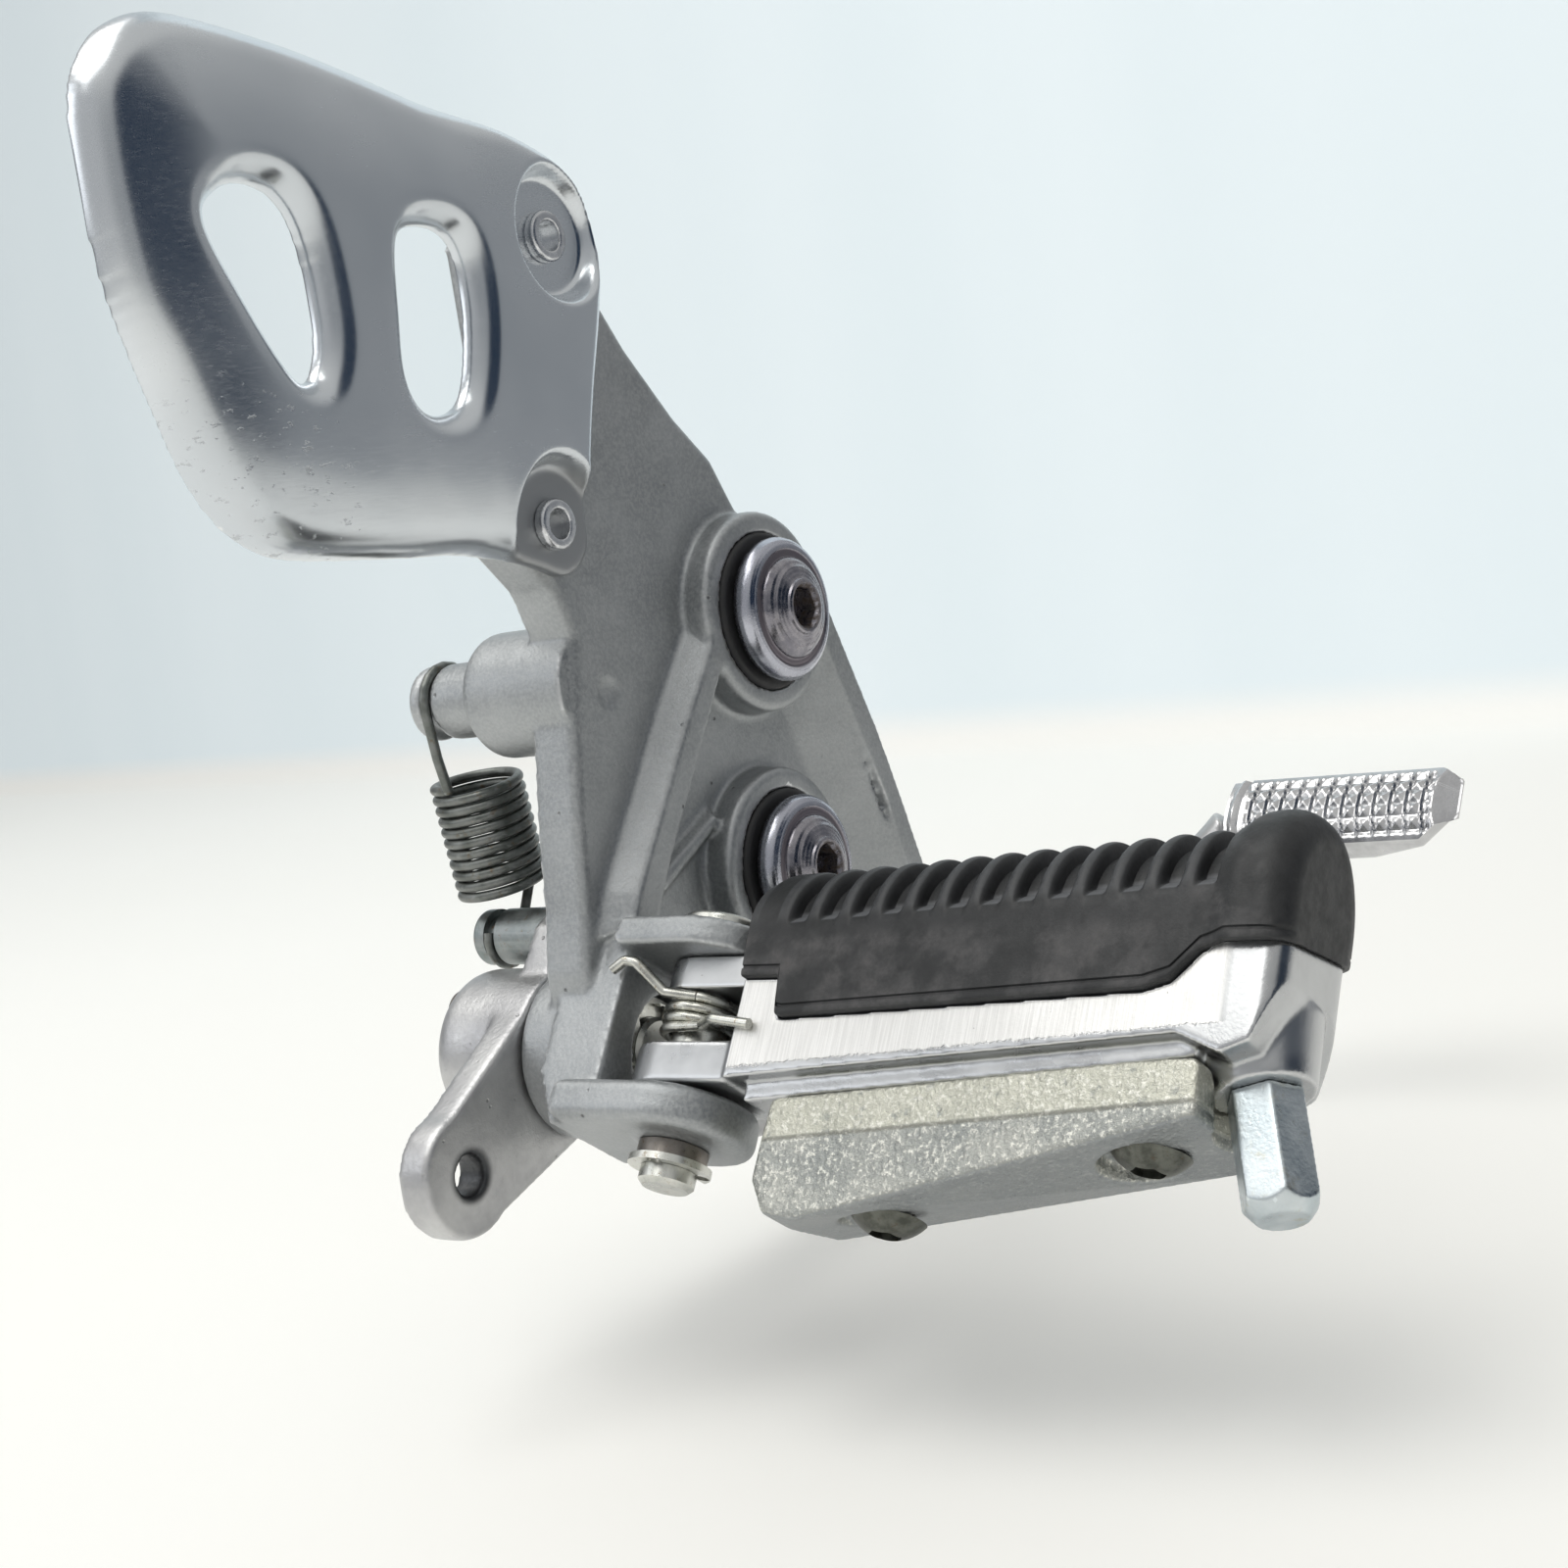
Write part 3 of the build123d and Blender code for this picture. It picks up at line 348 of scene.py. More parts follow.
def weight_look():
    k = Look("weight_zinc", 1.0)
    grain = k.noise(0.7, 4.0, 0.75)
    lumps = k.noise(2.6, 4.0, 0.7)
    tone = k.noise(9.0, 3.0)
    part = k.calc("ADD", k.z, k.calc("ADD", 23.3, k.calc("MULTIPLY", k.x, -0.105)))
    colour = k.mix(k.band(tone, 0.3, 0.7), (0.30, 0.315, 0.305), (0.44, 0.445, 0.415))
    colour = k.mix(k.band(part, -0.6, 0.6, 0.0, 0.6), colour, (0.66, 0.65, 0.54))
    colour = k.mix(k.band(grain, 0.50, 0.66, 0.0, 0.9), colour, (0.90, 0.89, 0.82))
    colour = k.mix(k.band(lumps, 0.45, 0.33, 0.0, 0.6), colour, (0.24, 0.255, 0.25))
    seam = k.band(k.calc("ABSOLUTE", part), 0.0, 0.5, 1.0, 0.0)
    colour = k.mix(k.calc("MULTIPLY", seam, 0.45), colour, (0.22, 0.22, 0.20))
    k.bump(k.band(part, -0.4, 0.4), 0.35)
    # faces turned down mixed toward a flat bluish grey: painted shade on the underside
    under = k.band(k.facing((0, 0, -1)), 0.4, 0.8)
    colour = k.mix(k.calc("MULTIPLY", under, 0.7), colour, (0.30, 0.32, 0.34))
    rust = k.band(k.noise(1.4, 3.0, 0.6), 0.74, 0.80, 0.0, 0.7)
    colour = k.mix(rust, colour, (0.33, 0.20, 0.11))
    k.bump(grain, 0.22)
    k.bump(lumps, 0.35)
    rough = k.band(grain, 0.25, 0.75, 0.24, 0.5)
    return k.done(colour, rough)


def plain_metal(name, dark, light, rough=(0.25, 0.4), size=4.0, depth=0.03, stain=None, metallic=1.0):
    """Lightly mottled metal with lighter edges, a painted highlight, and an optional stain."""
    k = Look(name, metallic)
    broad = k.noise(size, 4.0, 0.6)
    fine = k.noise(size * 0.12, 3.0, 0.6)
    colour = k.mix(k.band(broad, 0.32, 0.68), dark, light)
    # lighter colour on convex edges: a painted highlight
    bright = tuple(min(1.0, c * 1.35) for c in light)
    colour = k.mix(k.calc("MULTIPLY", k.edges(0.53, 0.62), 0.5), colour, bright)
    if stain:
        spots = k.noise(size * 0.5, 4.0, 0.7, at=(7, 3, 1))
        colour = k.mix(k.band(spots, 0.56, 0.72, 0.0, 0.8), colour, stain)
    k.bump(fine, depth)
    return k.done(colour, k.band(broad, 0.25, 0.75, rough[0], rough[1]))


def pedal_look():
    k = Look("pedal_cast", 0.9)
    grain = k.noise(0.7, 3.0, 0.65)
    broad = k.noise(11.0, 4.0, 0.6)
    pits = k.band(k.cells(2.6), 0.06, 0.14, 1.0, 0.0)
    pits = k.calc("MULTIPLY", pits, k.band(k.noise(5.0), 0.5, 0.58))
    colour = k.mix(k.band(broad, 0.3, 0.7), (0.44, 0.44, 0.45), (0.60, 0.60, 0.60))
    # lighter colour on convex edges: a painted highlight
    colour = k.mix(k.calc("MULTIPLY", k.edges(0.51, 0.57), 0.5), colour, (0.78, 0.78, 0.78))
    colour = k.mix(k.calc("MULTIPLY", pits, 0.6), colour, (0.14, 0.14, 0.14))
    eye = MOUNTS["push_rod_eye"]["pos_m"]
    # near-black ring on the wall of the push rod eye: painted shade inside the hole
    eye_hole_shade = k.ring(k.x, k.z, eye[0] * 1000, eye[2] * 1000, 3.2, 1.5)
    colour = k.mix(k.calc("MULTIPLY", eye_hole_shade, 0.95), colour, (0.035, 0.038, 0.042))
    k.bump(grain, 0.07)
    k.bump(pits, -0.12)
    return k.done(colour, k.band(grain, 0.2, 0.8, 0.32, 0.5))


def grommet_look():
    k = Look("grommet_rubber", 0.0)
    tone = k.noise(3.0, 3.0)
    k.bump(k.noise(0.5, 2.0), 0.03)
    colour = k.mix(tone, (0.010, 0.010, 0.011), (0.028, 0.028, 0.030))
    return k.done(colour, k.band(tone, 0.3, 0.7, 0.5, 0.65))


LOOKS = {
    "cast": cast_look(), "guard": guard_look(), "bolt": bolt_look(), "rubber": rubber_look(),
    "peg": peg_look(), "weight": weight_look(), "pedal": pedal_look(), "grommet": grommet_look(),
    "toe": plain_metal("toe_bright", (0.54, 0.54, 0.55), (0.68, 0.68, 0.69), (0.16, 0.28), 5.0, 0.02),
    "feeler": plain_metal("feeler_zinc", (0.50, 0.56, 0.59), (0.66, 0.71, 0.73), (0.26, 0.4), 5.0, 0.04,
                          stain=(0.50, 0.50, 0.44)),
    "zinc": plain_metal("small_zinc", (0.50, 0.51, 0.48), (0.66, 0.66, 0.62), (0.24, 0.4), 2.5, 0.02,
                        stain=(0.34, 0.28, 0.20)),
    "torsion": plain_metal("torsion_wire", (0.46, 0.46, 0.42), (0.66, 0.66, 0.61), (0.22, 0.36), 2.5,
                           0.01, stain=(0.26, 0.18, 0.10)),
    "spring": plain_metal("return_wire", (0.13, 0.14, 0.13), (0.24, 0.25, 0.24), (0.3, 0.5), 3.0, 0.02,
                          stain=(0.16, 0.12, 0.08), metallic=0.85),
    "anchor": plain_metal("anchor_steel", (0.20, 0.23, 0.23), (0.34, 0.36, 0.36), (0.35, 0.5), 3.0, 0.05,
                          stain=(0.22, 0.14, 0.08)),
    "dark": plain_metal("dark_oiled_steel", (0.12, 0.11, 0.10), (0.24, 0.22, 0.20), (0.25, 0.42), 2.0,
                        0.02, stain=(0.16, 0.10, 0.06)),
    "seat": plain_metal("oiled_bolt_head", (0.075, 0.078, 0.068), (0.16, 0.165, 0.145), (0.3, 0.45), 2.0,
                        0.03, stain=(0.10, 0.08, 0.06)),
    "bronze": plain_metal("bush_bronze", (0.42, 0.30, 0.16), (0.58, 0.44, 0.26), (0.3, 0.42), 3.0, 0.02),
    "rivet": plain_metal("rivet_aluminium", (0.56, 0.57, 0.59), (0.72, 0.73, 0.75), (0.2, 0.32), 2.0,
                         0.02),
}


# ---- mesh helpers ----
def paint(mesh, look):
    mesh.materials.clear()
    mesh.materials.append(LOOKS[look])
    mesh.polygons.foreach_set("use_smooth", [True] * len(mesh.polygons))


def linked(data, name):
    made = bpy.data.objects.new(name, data)
    bpy.context.scene.collection.objects.link(made)
    return made


def applied(work):
    """The final mesh of a working object, which is deleted."""
    graph = bpy.context.evaluated_depsgraph_get()
    mesh = bpy.data.meshes.new_from_object(work.evaluated_get(graph))
    bpy.data.objects.remove(work)
    return mesh


def add_remesh(work, voxel, rounds):
    """Welds a mesh, rebuilds it with voxels of that size in mm, and smooths it."""
    work.modifiers.new("weld", "WELD").merge_threshold = 1e-6
    remesh = work.modifiers.new("remesh", "REMESH")
    remesh.mode = "VOXEL"
    remesh.voxel_size = voxel * 0.001
    relax = work.modifiers.new("relax", "SMOOTH")
    relax.iterations = rounds
    return relax


def add_piece(mesh, name, matrix, body, look, replaced, angle=0):
    """A new piece; edges sharper than angle degrees stay crisp, and 0 keeps it smooth all over."""
    piece = linked(mesh, name)
    piece.matrix_world = matrix
    paint(mesh, look)
    if angle:
        mesh.set_sharp_from_angle(angle=radians(angle))
    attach(piece, body)
    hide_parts(replaced)


def remeshed(node, name, voxel, rounds, body, look, matrix=IDENTITY):
    """Soft-edged copy of a CAD node: remeshed evenly with voxels of so many mm, then smoothed."""
    mesh = frame["nodes"][node].data.copy()
    mesh.transform(matrix.inverted())
    work = linked(mesh, name + "_work")
    add_remesh(work, voxel, rounds).factor = 0.6
    add_piece(applied(work), name, matrix, body, look, node)


def mesh_from(points, faces, name):
    mesh = bpy.data.meshes.new(name)
    mesh.from_pydata([tuple(c * 0.001 for c in p) for p in points], [], faces)
    shape = bmesh.new()
    shape.from_mesh(mesh)
    bmesh.ops.remove_doubles(shape, verts=shape.verts, dist=1e-7)
    bmesh.ops.recalc_face_normals(shape, faces=shape.faces)
    shape.to_mesh(mesh)
    shape.free()
    return mesh


def tube_faces(rows, cols):
    """Quads between closed loops of the same count, capped at both ends."""
    faces = [(i * cols + j, i * cols + (j + 1) % cols, (i + 1) * cols + (j + 1) % cols, (i + 1) * cols + j)
             for i in range(rows - 1) for j in range(cols)]
    faces.append(tuple(reversed(range(cols))))
    faces.append(tuple((rows - 1) * cols + j for j in range(cols)))
    return faces


def lathe(profile, steps=96):
    """Solid of revolution about z; a third entry makes that ring a hexagon of that flat radius."""
    points = []
    for entry in profile:
        for j in range(steps):
            a = 2 * pi * j / steps
            r = entry[0]
            if len(entry) > 2:
                r = min(r / cos((a + pi / 6) % (pi / 3) - pi / 6), entry[2])
            points.append((r * cos(a), r * sin(a), entry[1]))
    return points, tube_faces(len(profile), steps)


def restyle(node, look):
    """A CAD node whose shape stays and whose material gets its full detail."""
    paint(frame["nodes"][node].data, look)


# ---- heel guard ----
WINDOW_A = [(-101.0, 58.4), (-98.0, 62.4), (-93.0, 63.6), (-88.0, 61.8), (-85.4, 56.2), (-84.9, 46.0),
            (-86.6, 40.2), (-89.3, 38.9), (-92.0, 41.0), (-96.4, 48.2)]
WINDOW_B = [(-69.2, 55.6), (-66.4, 58.5), (-60.6, 58.7), (-57.2, 56.2), (-56.3, 50.2), (-57.6, 42.0),
            (-60.2, 35.8), (-65.0, 33.8), (-69.4, 35.2), (-71.3, 39.5), (-70.6, 47.0)]
GUARD = [(-114.6, 72.6), (-111.8, 78.6), (-107.0, 82.6), (-99.7, 84.3), (-84.5, 82.4), (-71.6, 79.7),
         (-54.4, 75.2), (-38.5, 70.8), (-29.6, 65.8), (-26.6, 58.0), (-28.0, 49.5), (-32.4, 35.6),
         (-36.0, 22.0), (-37.3, 13.5), (-42.5, 10.2), (-50.0, 12.4), (-60.0, 15.0), (-74.0, 15.9),
         (-91.3, 17.3), (-98.2, 19.3), (-103.4, 23.3), (-107.4, 29.8), (-110.8, 39.4), (-113.8, 49.6),
         (-115.0, 61.0)]
RIVETS = [(-36.8, 58.1), (-44.6, 17.6)]
GUARD_FACE = -19.5
HALF_SHEET = 1.1


def rounded_outline(points, steps=8):
    """Closed Catmull-Rom curve through the points."""
    out, n = [], len(points)
    for i in range(n):
        p0, p1, p2, p3 = (np.array(points[(i + k) % n]) for k in (-1, 0, 1, 2))
        for t in np.arange(steps) / steps:
            out.append(0.5 * (2 * p1 + (p2 - p0) * t + (2 * p0 - 5 * p1 + 4 * p2 - p3) * t * t
                              + (3 * p1 - p0 - 3 * p2 + p3) * t ** 3))
    return np.array(out)


def line_distance(outline, x, z):
    """Distance of many points from a closed outline."""
    best = np.full(x.shape, 1e9)
    for a, b in zip(outline, np.roll(outline, -1, axis=0)):
        d = b - a
        t = np.clip(((x - a[0]) * d[0] + (z - a[1]) * d[1]) / max(1e-9, d @ d), 0, 1)
        best = np.minimum(best, np.hypot(x - a[0] - t * d[0], z - a[1] - t * d[1]))
    return best


def step(lo, hi, x):
    t = np.clip((x - lo) / (hi - lo), 0, 1)
    return t * t * (3 - 2 * t)


def guard_inward(x, z):
    """How far the pressed sheet lies behind the guard's outermost plane, in mm."""
    rim = line_distance(rounded_outline(GUARD), x, z)
    free = step(-44.0, -60.0, x)
    low = step(46.0, 22.0, z)
    wide = 9.0 + 9.0 * free
    crown = (1.0 + 1.6 * free) * np.clip(1 - rim / wide, 0, 1) ** 2
    radius = 3.0 + 1.2 * free
    roll = radius - np.sqrt(np.clip(radius ** 2 - np.clip(radius - rim, 0, radius) ** 2, 0, None))
    depth = crown + roll * 0.85
    for window, reach, drop in ((WINDOW_A, 3.9, 2.6), (WINDOW_B, 3.8, 2.5)):
        d = line_distance(rounded_outline(window), x, z)
        depth = np.maximum(depth, drop * np.clip(1 - d / reach, 0, 1) ** 2.0 + depth * 0.6)
    depth += 0.5 * step(-70.0, -40.0, x) * step(64.0, 30.0, z) + 0.5 * low
    for cx, cz in RIVETS:
        r = np.hypot(x - cx, z - cz)
        dish = step(9.6, 8.7, r)
        depth = depth * (1 - dish) + 4.5 * dish
    return depth


def guard_plate():
    """Flat sheet cut from the outline and its two windows, rebuilt as a fine even mesh."""
    curve = bpy.data.curves.new("guard_outline", "CURVE")
    curve.dimensions = "2D"
    curve.fill_mode = "BOTH"
    curve.extrude = HALF_SHEET * 0.001
    for outline in (GUARD, WINDOW_A, WINDOW_B):
        loop = rounded_outline(outline)
        spline = curve.splines.new("POLY")
        spline.points.add(len(loop) - 1)
        for point, (x, z) in zip(spline.points, loop):
            point.co = (x * 0.001, z * 0.001, 0.0, 1.0)
        spline.use_cyclic_u = True
    work = linked(applied(linked(curve, "guard_work")), "guard_work")
    add_remesh(work, 0.45, 5)
    return applied(work)


def add_guard():
    """Pressed sheet: the flat plate formed over the depth field."""
    sheet = guard_plate()
    co = np.zeros(len(sheet.vertices) * 3)
    sheet.vertices.foreach_get("co", co)
    co = co.reshape(-1, 3) * 1000.0
    x, z, through = co[:, 0], co[:, 1], co[:, 2]
    y = GUARD_FACE + guard_inward(x, z) + (HALF_SHEET - through)
    # no deeper than the bracket's face where the guard lies on it
    y = np.where(x > -56.0, np.minimum(y, -13.05), y)
    sheet.vertices.foreach_set("co", (np.stack([x, y, z], 1) * 0.001).ravel())
    sheet.flip_normals()
    sheet.update()
    work = linked(sheet, "guard_work")
    work.modifiers.new("relax", "SMOOTH").iterations = 10
    add_piece(applied(work), "heel_guard_shell", IDENTITY, "bracket", "guard",
              "heel_guard")


# ---- mounting bolts ----
BOLT = [(0.0, 21.4), (3.0, 21.4, 9.0), (3.0, 24.7, 9.0), (3.35, 25.2, 3.75), (3.55, 25.4), (3.95, 25.45),
        (4.25, 25.3), (4.4, 24.95), (4.9, 24.75), (6.3, 24.35), (6.5, 24.1), (7.1, 23.85), (7.6, 23.45),
        (7.9, 23.0), (7.95, 22.75), (8.3, 22.62), (9.1, 22.6), (9.3, 22.72), (9.8, 22.68), (10.5, 22.35),
        (11.0, 21.75), (11.25, 21.0), (11.2, 20.2), (10.9, 19.5), (10.3, 19.1), (9.5, 19.02), (4.0, 19.0),
        (4.0, 4.0), (3.75, 3.6), (4.0, 3.2), (4.0, -12.9), (3.2, -14.0), (0.0, -14.0)]


def add_bolts():
    for index, name in enumerate(("upper_bolt_end", "lower_bolt_end")):
        at = Vector(MOUNTS[name]["pos_m"])
        matrix = axes_matrix(at, Vector((1, 0, 0)), Vector((0, 0, 1)), Vector((0, -1, 0)))
        matrix = matrix @ Matrix.Rotation(radians(18 + 25 * index), 4, "Z")
        points, faces = lathe(BOLT, 120)
        mesh = mesh_from(points, faces, "mounting_bolt")
        add_piece(mesh, "mounting_bolt_%d" % (index + 1), matrix, "bracket", "bolt",
                  "mounting_bolts", 32)


# ---- peg rubber (peg frame, mm) ----
PEG_MID = 2.5  # the pad's middle plane
PAD_R = 12.0
GROOVES = [19.6 + RIB_PITCH * i for i in range(13)]
PAD_BOTTOM = [(12.2, 1.5), (18.5, 1.5), (19.1, -4.0), (20.0, -4.25), (73.0, -1.0), (76.5, 0.1),
              (80.0, 3.9), (83.0, 5.1), (91.0, 5.1)]
# height above a flap's lower edge and how far the surface lies inside, with a moulded line at 1.3
FLAP_EDGE = [(0.0, 0.35), (0.15, 0.1), (0.5, 0.0), (1.0, 0.0), (1.15, 0.28), (1.45, 0.28), (1.6, 0.0)]


def pad_bottom(x):
    for (x0, z0), (x1, z1) in zip(PAD_BOTTOM, PAD_BOTTOM[1:]):
        if x <= x1:
            return z0 + (z1 - z0) * max(0.0, x - x0) / (x1 - x0)
    return PAD_BOTTOM[-1][1]


def groove_depth(x):
    """0 on a rib, 1 on the floor of a groove, and a slight rounding of the rib crests."""
    cut = max(1.0 - smooth(1.1, 1.65, abs(x - g)) for g in GROOVES)
    crest = 0.0
    if 17.0 < x < 80.5:
        half = RIB_PITCH / 2
        phase = ((x - 22.1 + half) % RIB_PITCH) - half
        crest = 0.68 * min(1.0, abs(phase) / 1.3) ** 2
    return cut, crest


def corner(x, start, radius):
    """How far a rounded end corner has come in at x."""
    return radius - sqrt(max(0.0, radius ** 2 - max(0.0, x - start) ** 2))


def flap(edge, inward, low, top):
    """One flap from its lower edge up to the height where the half-round tread starts."""
    points = [(edge + inward * inset, low + h) for h, inset in FLAP_EDGE]
    start = low + FLAP_EDGE[-1][0]
    return points + [(edge, start + (top - start) * k / 8.0) for k in range(1, 9)]


def tread_arch(x, rear, front, centre, grow):
    """Half-round top between the flaps, cut by the groove at x; grow is 1 on the end block."""
    cut, crest = groove_depth(x)
    radius = PAD_R + 0.9 * grow
    drop = corner(x, 86.0, 5.0) + 1.6 * (1.0 - smooth(11.6, 14.0, x))
    points = []
    for k in range(1, 64):
        a = pi * k / 64.0
        above = PAD_R * sin(a)
        depth = 0.0 if x > 81.5 else 2.2 * cut * min(1.0, above / 2.4)
        rr = radius - depth - crest * smooth(0.0, 2.4, above) * (1 - cut)
        half = -rear if a < pi / 2 else front
        points.append((-cos(a) * rr * half / radius, centre + (rr + grow - drop) * sin(a)))
    return points


def pad_inside(x, rear, front, bottom):
    """The hollow that fits the metal, from the front flap over its roof to the rear flap."""
    rear_in, front_in = -8.0, 8.0
    if x > 86.0:
        rear_in, front_in = max(rear_in, rear + 1.5), min(front_in, front - 1.5)
    roof = min(8.0 + 3.0 * (x - 12.6) / 73.4, 11.0 - 3.0 * (x - 86.0))
    fore, aft = bottom(front_in), bottom(rear_in)
    points = [(front_in, fore + (max(fore + 0.05, roof) - fore) * k / 6.0) for k in range(7)]
    for k in range(1, 6):
        across = front_in + (rear_in - front_in) * k / 6.0
        points.append((across, max(bottom(across) + 0.05, roof)))
    return points + [(rear_in, aft + (max(aft + 0.05, roof) - aft) * k / 6.0) for k in range(6, -1, -1)]


def pad_loop(x):
    """Closed section of the pad at x: outside from the rear flap over the top, then inside back."""
    grow = smooth(80.3, 84.5, x)
    under = smooth(79.5, 82.5, x) * 0.209

    def bottom(across):
        """Lower edge, which rises towards the front under the end block."""
        return pad_bottom(x) + under * (across + 11.0)

    centre = 8.0 + RISE * x
    rear = -PAD_R - 0.9 * grow + corner(x, 87.0, 4.0)
    front = PAD_R + 0.9 * grow - corner(x, 83.5, 7.5)
    loop = flap(rear, 1, bottom(rear), centre)
    loop += tread_arch(x, rear, front, centre, grow)
    loop += reversed(flap(front, -1, bottom(front), centre))
    loop += pad_inside(x, rear, front, bottom)
    return [(x, PEG_MID + y, z) for y, z in loop]


def add_pad():
    xs = [12.2 + 0.25 * i for i in range(285)]
    xs += [83.5 + 7.5 * sin(radians(a)) for a in range(0, 91, 4)]
    xs.append(91.0)
    points = []
    for i, x in enumerate(xs):
        lean = 0.057 * max(0.0, 1.0 - i / 14.0)  # the inner end leans back, the rest is square
        points += [(px - lean * (z - 1.5), y, z) for px, y, z in pad_loop(x)]
    mesh = mesh_from(points, tube_faces(len(xs), len(points) // len(xs)), "peg_rubber_pad")
    add_piece(mesh, "peg_rubber_pad", PEG, "peg", "rubber", "peg_rubber", 50)


# ---- toe tip (tip frame, mm: x up the tread, y its normal, z outboard) ----
TIP_LONG = 44.0


def tread_height(x, z):
    """Convex tread with a bead at its inner end, then ridges and rows of small pyramids."""
    dome = 3.9 - 1.5 * (x / 7.2) ** 2
    bead = 0.8 * max(0.0, 1.0 - abs(z - 1.7 - 0.012 * x * x) / 1.0) ** 0.7
    if z < 4.0:
        return dome - 0.55 + bead
    along = ((z - 4.4 - 0.016 * x * x) % 3.0) / 3.0
    ridge = 0.8 * max(0.0, 1.0 - abs(along - 0.18) / 0.2)
    across = abs(((x + 0.2) % 2.6) / 1.3 - 1.0)
    pyramid = 0.62 * min(1.0 - across, max(0.0, 1.0 - abs(along - 0.64) / 0.36))
    inside = smooth(6.6, 5.6, abs(x)) * smooth(40.0, 39.3, z)
    return dome - 0.6 * inside + max(ridge, pyramid) * inside


def toe_loop(z):
    """Closed section at z, which narrows to a blunt point past the end of the tread."""
    low = -7.4 + 0.85 * max(0.0, z - 38.0)
    high = 7.4 - 0.6 * max(0.0, z - 40.5)
    top = 0.35 + 0.86 * (TIP_LONG - z)
    bottom = max(-4.0, 0.9 - 0.306 * (TIP_LONG - z))
    loop = []
    for i in range(61):
        x = low + (high - low) * i / 60.0
        loop.append((x, min(top, tread_height(x, z)), z))
    edge = loop[60][1] - 0.2
    for i in range(1, 9):
        loop.append((high + 0.1 * i / 8, edge + (bottom + 1.4 - edge) * i / 8.0, z))
    for i in range(1, 9):
        a = radians(90.0 * i / 8)
        loop.append((high - 1.4 + 1.5 * cos(a), bottom + 1.4 - 1.4 * sin(a), z))
    for i in range(1, 12):
        loop.append((high - 1.4 + (low - high + 2.8) * i / 12.0, bottom, z))
    for i in range(9):
        a = radians(90.0 * i / 8)
        loop.append((low + 1.4 - 1.5 * sin(a), bottom + 1.4 - 1.4 * cos(a), z))
    edge = loop[0][1] - 0.2
    for i in range(1, 8):
        loop.append((low - 0.1, bottom + 1.4 + (edge - bottom - 1.4) * i / 8.0, z))
    return [(x, min(y, max(top, bottom + 0.25)), z) for x, y, z in loop]


def add_toe():
    rows = [0.2 * i for i in range(220)] + [TIP_LONG - 0.05]
    points = [p for z in rows for p in toe_loop(z)]
    mesh = mesh_from(points, tube_faces(len(rows), len(points) // len(rows)), "toe_tip_tread")
    add_piece(mesh, "toe_tip_tread", TIP, "pedal", "toe", "toe_tip", 30)


# ---- springs: copies of the CAD wires with their own materials ----
def add_spring(node, look):
    wire = linked(frame["nodes"][node].data.copy(), node + "_wire")
    paint(wire.data, look)
    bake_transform(wire)
    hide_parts(node)


def add_springs():
    add_spring("peg_return_spring", "torsion")
    add_spring("brake_return_spring", "spring")


# ---- build ----
remeshed("bracket_casting", "bracket_cast", 0.5, 6, "bracket", "cast")
add_guard()
remeshed("brake_pedal", "brake_pedal_forging", 0.6, 6, "pedal", "pedal")
remeshed("peg_casting", "peg_cast", 0.35, 6, "peg", "peg", PEG)
remeshed("balance_weight", "balance_weight_cast", 0.4, 6, "peg", "weight", PEG)
remeshed("bank_feeler", "bank_feeler_hex", 0.25, 5, "peg", "feeler", PEG)
add_toe()
remeshed("heel_guard_rivets", "heel_guard_rivet_pair", 0.2, 3, "bracket", "rivet")
add_bolts()
add_pad()
add_springs()
for node, look in {
        "mounting_grommets": "grommet", "mounting_sleeves": "zinc", "pedal_bush": "bronze",
        "pedal_pivot_washer": "zinc", "pedal_pivot_clip": "zinc", "pedal_pivot_shaft": "zinc",
        "peg_pin": "zinc", "peg_pin_washer": "dark", "peg_pin_clip": "zinc",
        "weight_bolts": "seat",
        "spring_anchor_pin": "anchor", "hub_screw": "dark"}.items():
    restyle(node, look)


# ---- floor, backdrop, light, camera ----
def stage_look():
    k = Look("studio_sheet", 0.0)
    tone = k.noise(420.0, 2.0)
    floor_tone = k.mix(tone, (0.80, 0.79, 0.755), (0.84, 0.83, 0.80))
    streak = k.noise(160.0, 2.0, stretch=(1, 1, 12))
    wall_tone = k.mix(streak, (0.66, 0.735, 0.77), (0.73, 0.79, 0.82))
    high = k.band(k.z, FLOOR_Z * 1000 + 4.0, FLOOR_Z * 1000 + 26.0)
    sheet = k.mix(high, floor_tone, wall_tone)
    k.put(sheet, k.shader.inputs["Emission Color"])
    k.shader.inputs["Emission Strength"].default_value = 0.22
    return k.done(sheet, 0.75)


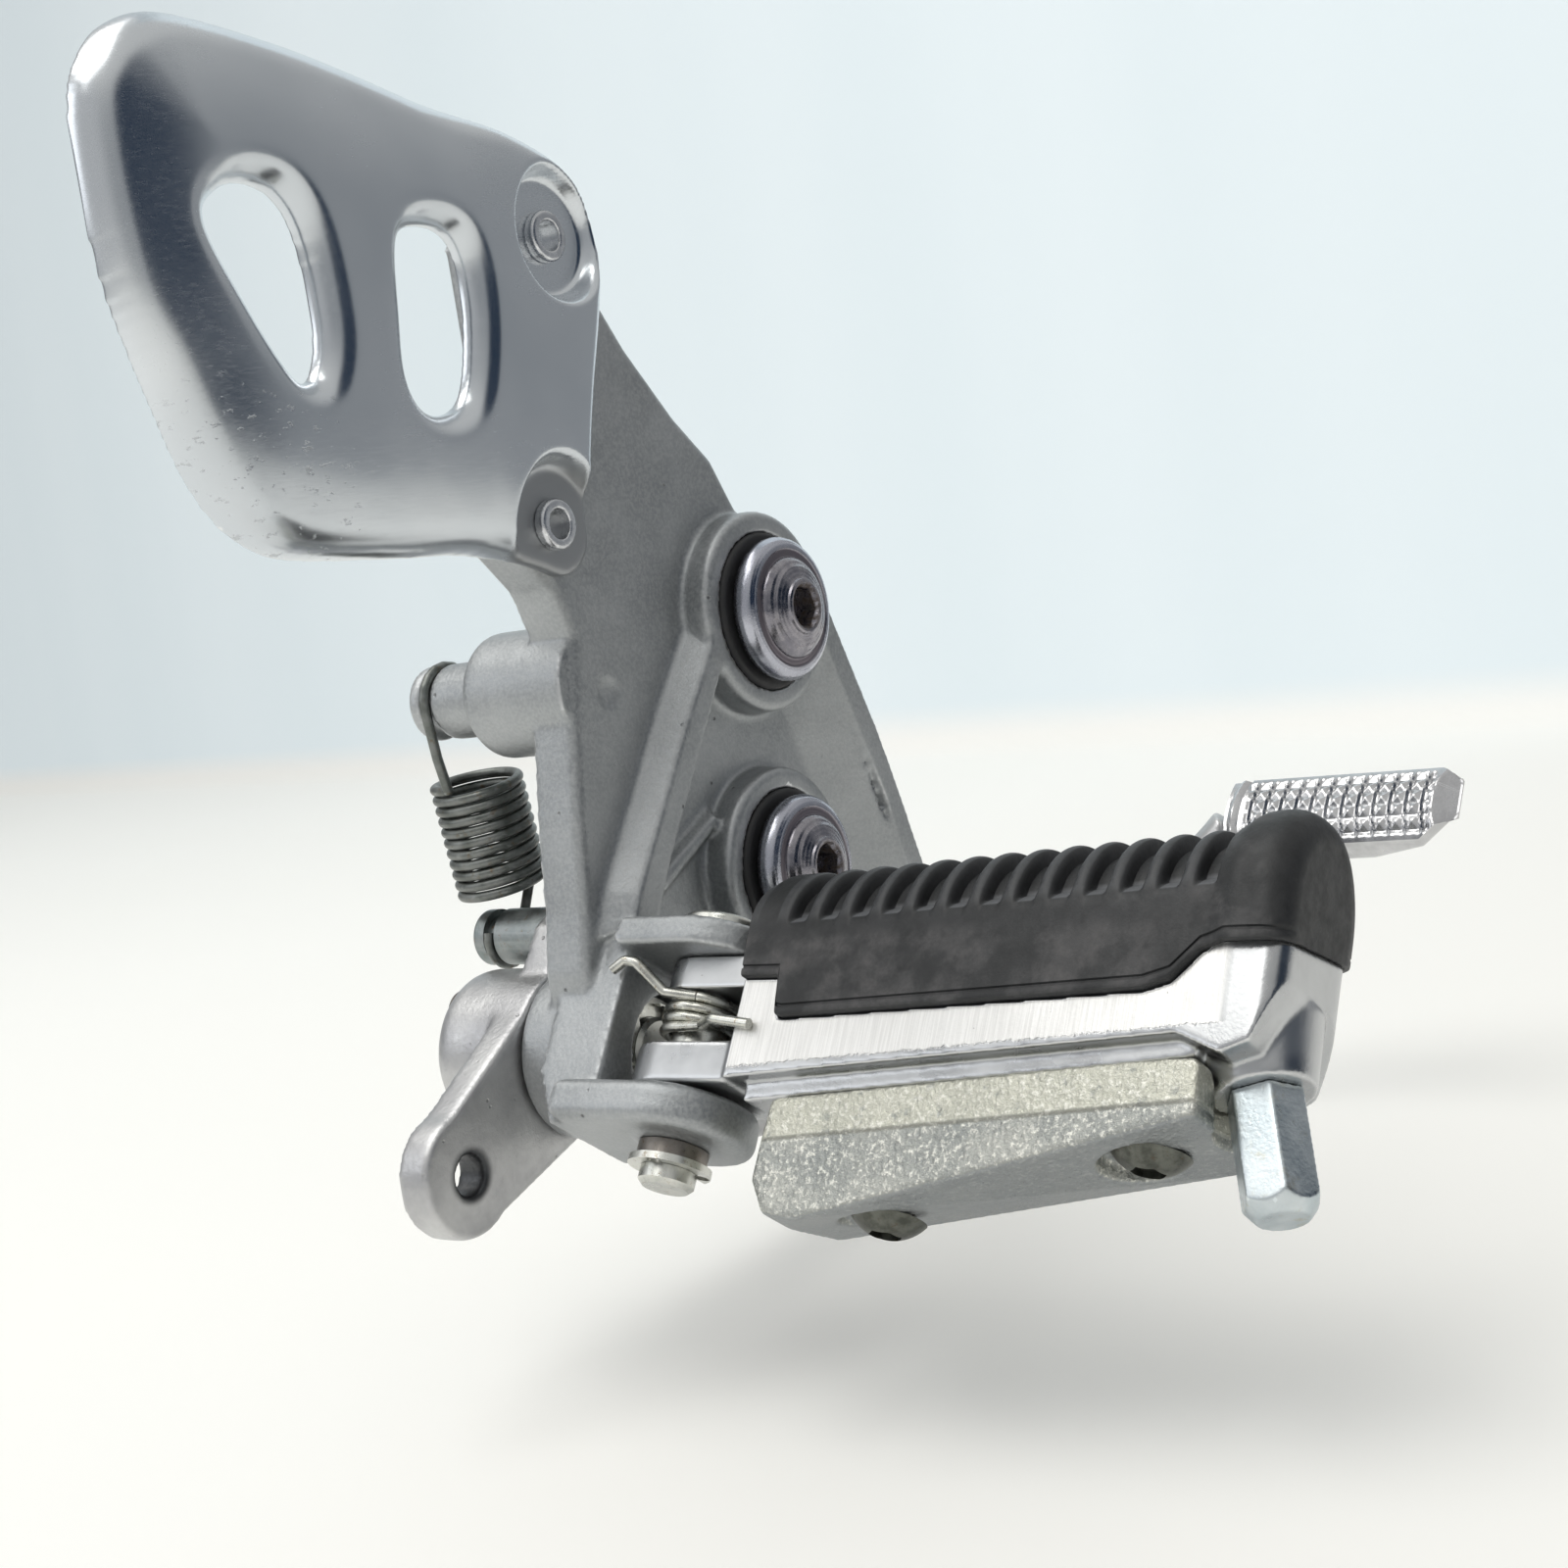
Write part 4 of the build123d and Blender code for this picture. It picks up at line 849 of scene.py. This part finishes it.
def add_stage():
    """Floor sheet that turns up into the backdrop with a small round cove."""
    line = Vector((0.31, 1.277, 0)).normalized()
    back = Vector((line.y, -line.x, 0))
    sight = Vector((0.7915, 0.2467, -0.1003))  # from the camera to the sheet's fold
    foot = EYE_POINT + sight * ((FLOOR_Z - EYE_POINT.z) / sight.z)
    foot.z = FLOOR_Z
    cove = 0.02
    profile = [(-3.0, 0.0), (-0.6, 0.0), (-0.3, 0.0), (-cove, 0.0)]
    floor_strips = len(profile) - 1
    profile += [(cove * (sin(radians(a)) - 1), cove * (1 - cos(radians(a)))) for a in range(10, 91, 10)]
    profile += [(0.0, 0.3), (0.0, 0.8), (0.0, 2.2)]
    points, faces = [], []
    spans = (-2.0, -0.8, -0.1, 0.4, 1.4, 3.0)
    wall_start = 2  # no wall before this span, where it would shine in the guard
    for s in spans:
        for d, h in profile:
            points.append(tuple(foot + line * s + back * d + Vector((0, 0, h))))
    n = len(profile)
    for i in range(len(spans) - 1):
        for j in range(n - 1 if i >= wall_start else floor_strips):
            faces.append((i * n + j, i * n + j + 1, (i + 1) * n + j + 1, (i + 1) * n + j))
    mesh = bpy.data.meshes.new("studio_sheet")
    mesh.from_pydata(points, [], faces)
    mesh.polygons.foreach_set("use_smooth", [True] * len(mesh.polygons))
    mesh.materials.append(stage_look())
    linked(mesh, "studio_sheet")


def add_world():
    world = bpy.data.worlds.new("studio")
    bpy.context.scene.world = world
    world.use_nodes = True
    tree = world.node_tree
    tree.nodes.clear()
    out = tree.nodes.new("ShaderNodeOutputWorld")
    shade = tree.nodes.new("ShaderNodeBackground")
    coords = tree.nodes.new("ShaderNodeTexCoord")

    def dot(direction):
        made = tree.nodes.new("ShaderNodeVectorMath")
        made.operation = "DOT_PRODUCT"
        tree.links.new(coords.outputs["Generated"], made.inputs[0])
        made.inputs[1].default_value = Vector(direction).normalized()
        return made.outputs["Value"]

    def band(value, lo, hi):
        made = tree.nodes.new("ShaderNodeMapRange")
        made.interpolation_type = "SMOOTHSTEP"
        tree.links.new(value, made.inputs[0])
        made.inputs[1].default_value = lo
        made.inputs[2].default_value = hi
        return made.outputs[0]

    def mix(fac, a, b):
        made = tree.nodes.new("ShaderNodeMix")
        made.data_type = "RGBA"
        tree.links.new(fac, made.inputs[0])
        for value, socket in ((a, made.inputs[6]), (b, made.inputs[7])):
            if isinstance(value, tuple):
                socket.default_value = value + (1.0,)
            else:
                tree.links.new(value, socket)
        return made.outputs[2]

    colour = mix(band(dot((0, 0, 1)), 0.12, 0.80), (0.50, 0.52, 0.54), (1.0, 1.0, 0.98))
    colour = mix(band(dot((0.15, -1.0, 0.2)), 0.85, 0.94), colour, (0.03, 0.055, 0.10))
    colour = mix(band(dot((-1.0, 0.1, 0.2)), 0.6, 0.95), colour, (0.80, 0.81, 0.82))
    seen = tree.nodes.new("ShaderNodeLightPath").outputs["Is Camera Ray"]
    colour = mix(seen, colour, (1.07, 1.16, 1.19))
    tree.links.new(colour, shade.inputs["Color"])
    shade.inputs["Strength"].default_value = 0.62
    tree.links.new(shade.outputs[0], out.inputs[0])


def add_area(name, at, to, size, power, colour=(1, 1, 1)):
    data = bpy.data.lights.new(name, "AREA")
    data.shape = "RECTANGLE"
    data.size, data.size_y = size
    data.energy = power
    data.color = colour
    lamp = linked(data, name)
    lamp.location = at
    lamp.rotation_euler = (Vector(to) - Vector(at)).to_track_quat("-Z", "Y").to_euler()


def add_camera():
    data = bpy.data.cameras.new("photo_view")
    data.lens = 54.0
    data.sensor_width = 36.0
    data.clip_start = 0.01
    camera = linked(data, "photo_view")
    right = Vector((0.5667, -0.8099, -0.1516))
    upward = Vector((0.1713, -0.0641, 0.9831))
    camera.matrix_world = axes_matrix(EYE_POINT, right, upward, Vector((-0.8059, -0.5831, 0.1024)))
    bpy.context.scene.camera = camera


add_stage()
add_world()
add_area("key_above", (-0.35, 0.25, 1.1), (0, -0.05, 0), (1.2, 0.9), 8.0, (1.0, 0.99, 0.96))
add_area("fill_left", (-0.9, 0.9, 0.55), (0, 0, 0), (0.7, 0.7), 2.0, (0.95, 0.97, 1.0))
add_camera()
bpy.context.scene.view_settings.view_transform = "Standard"
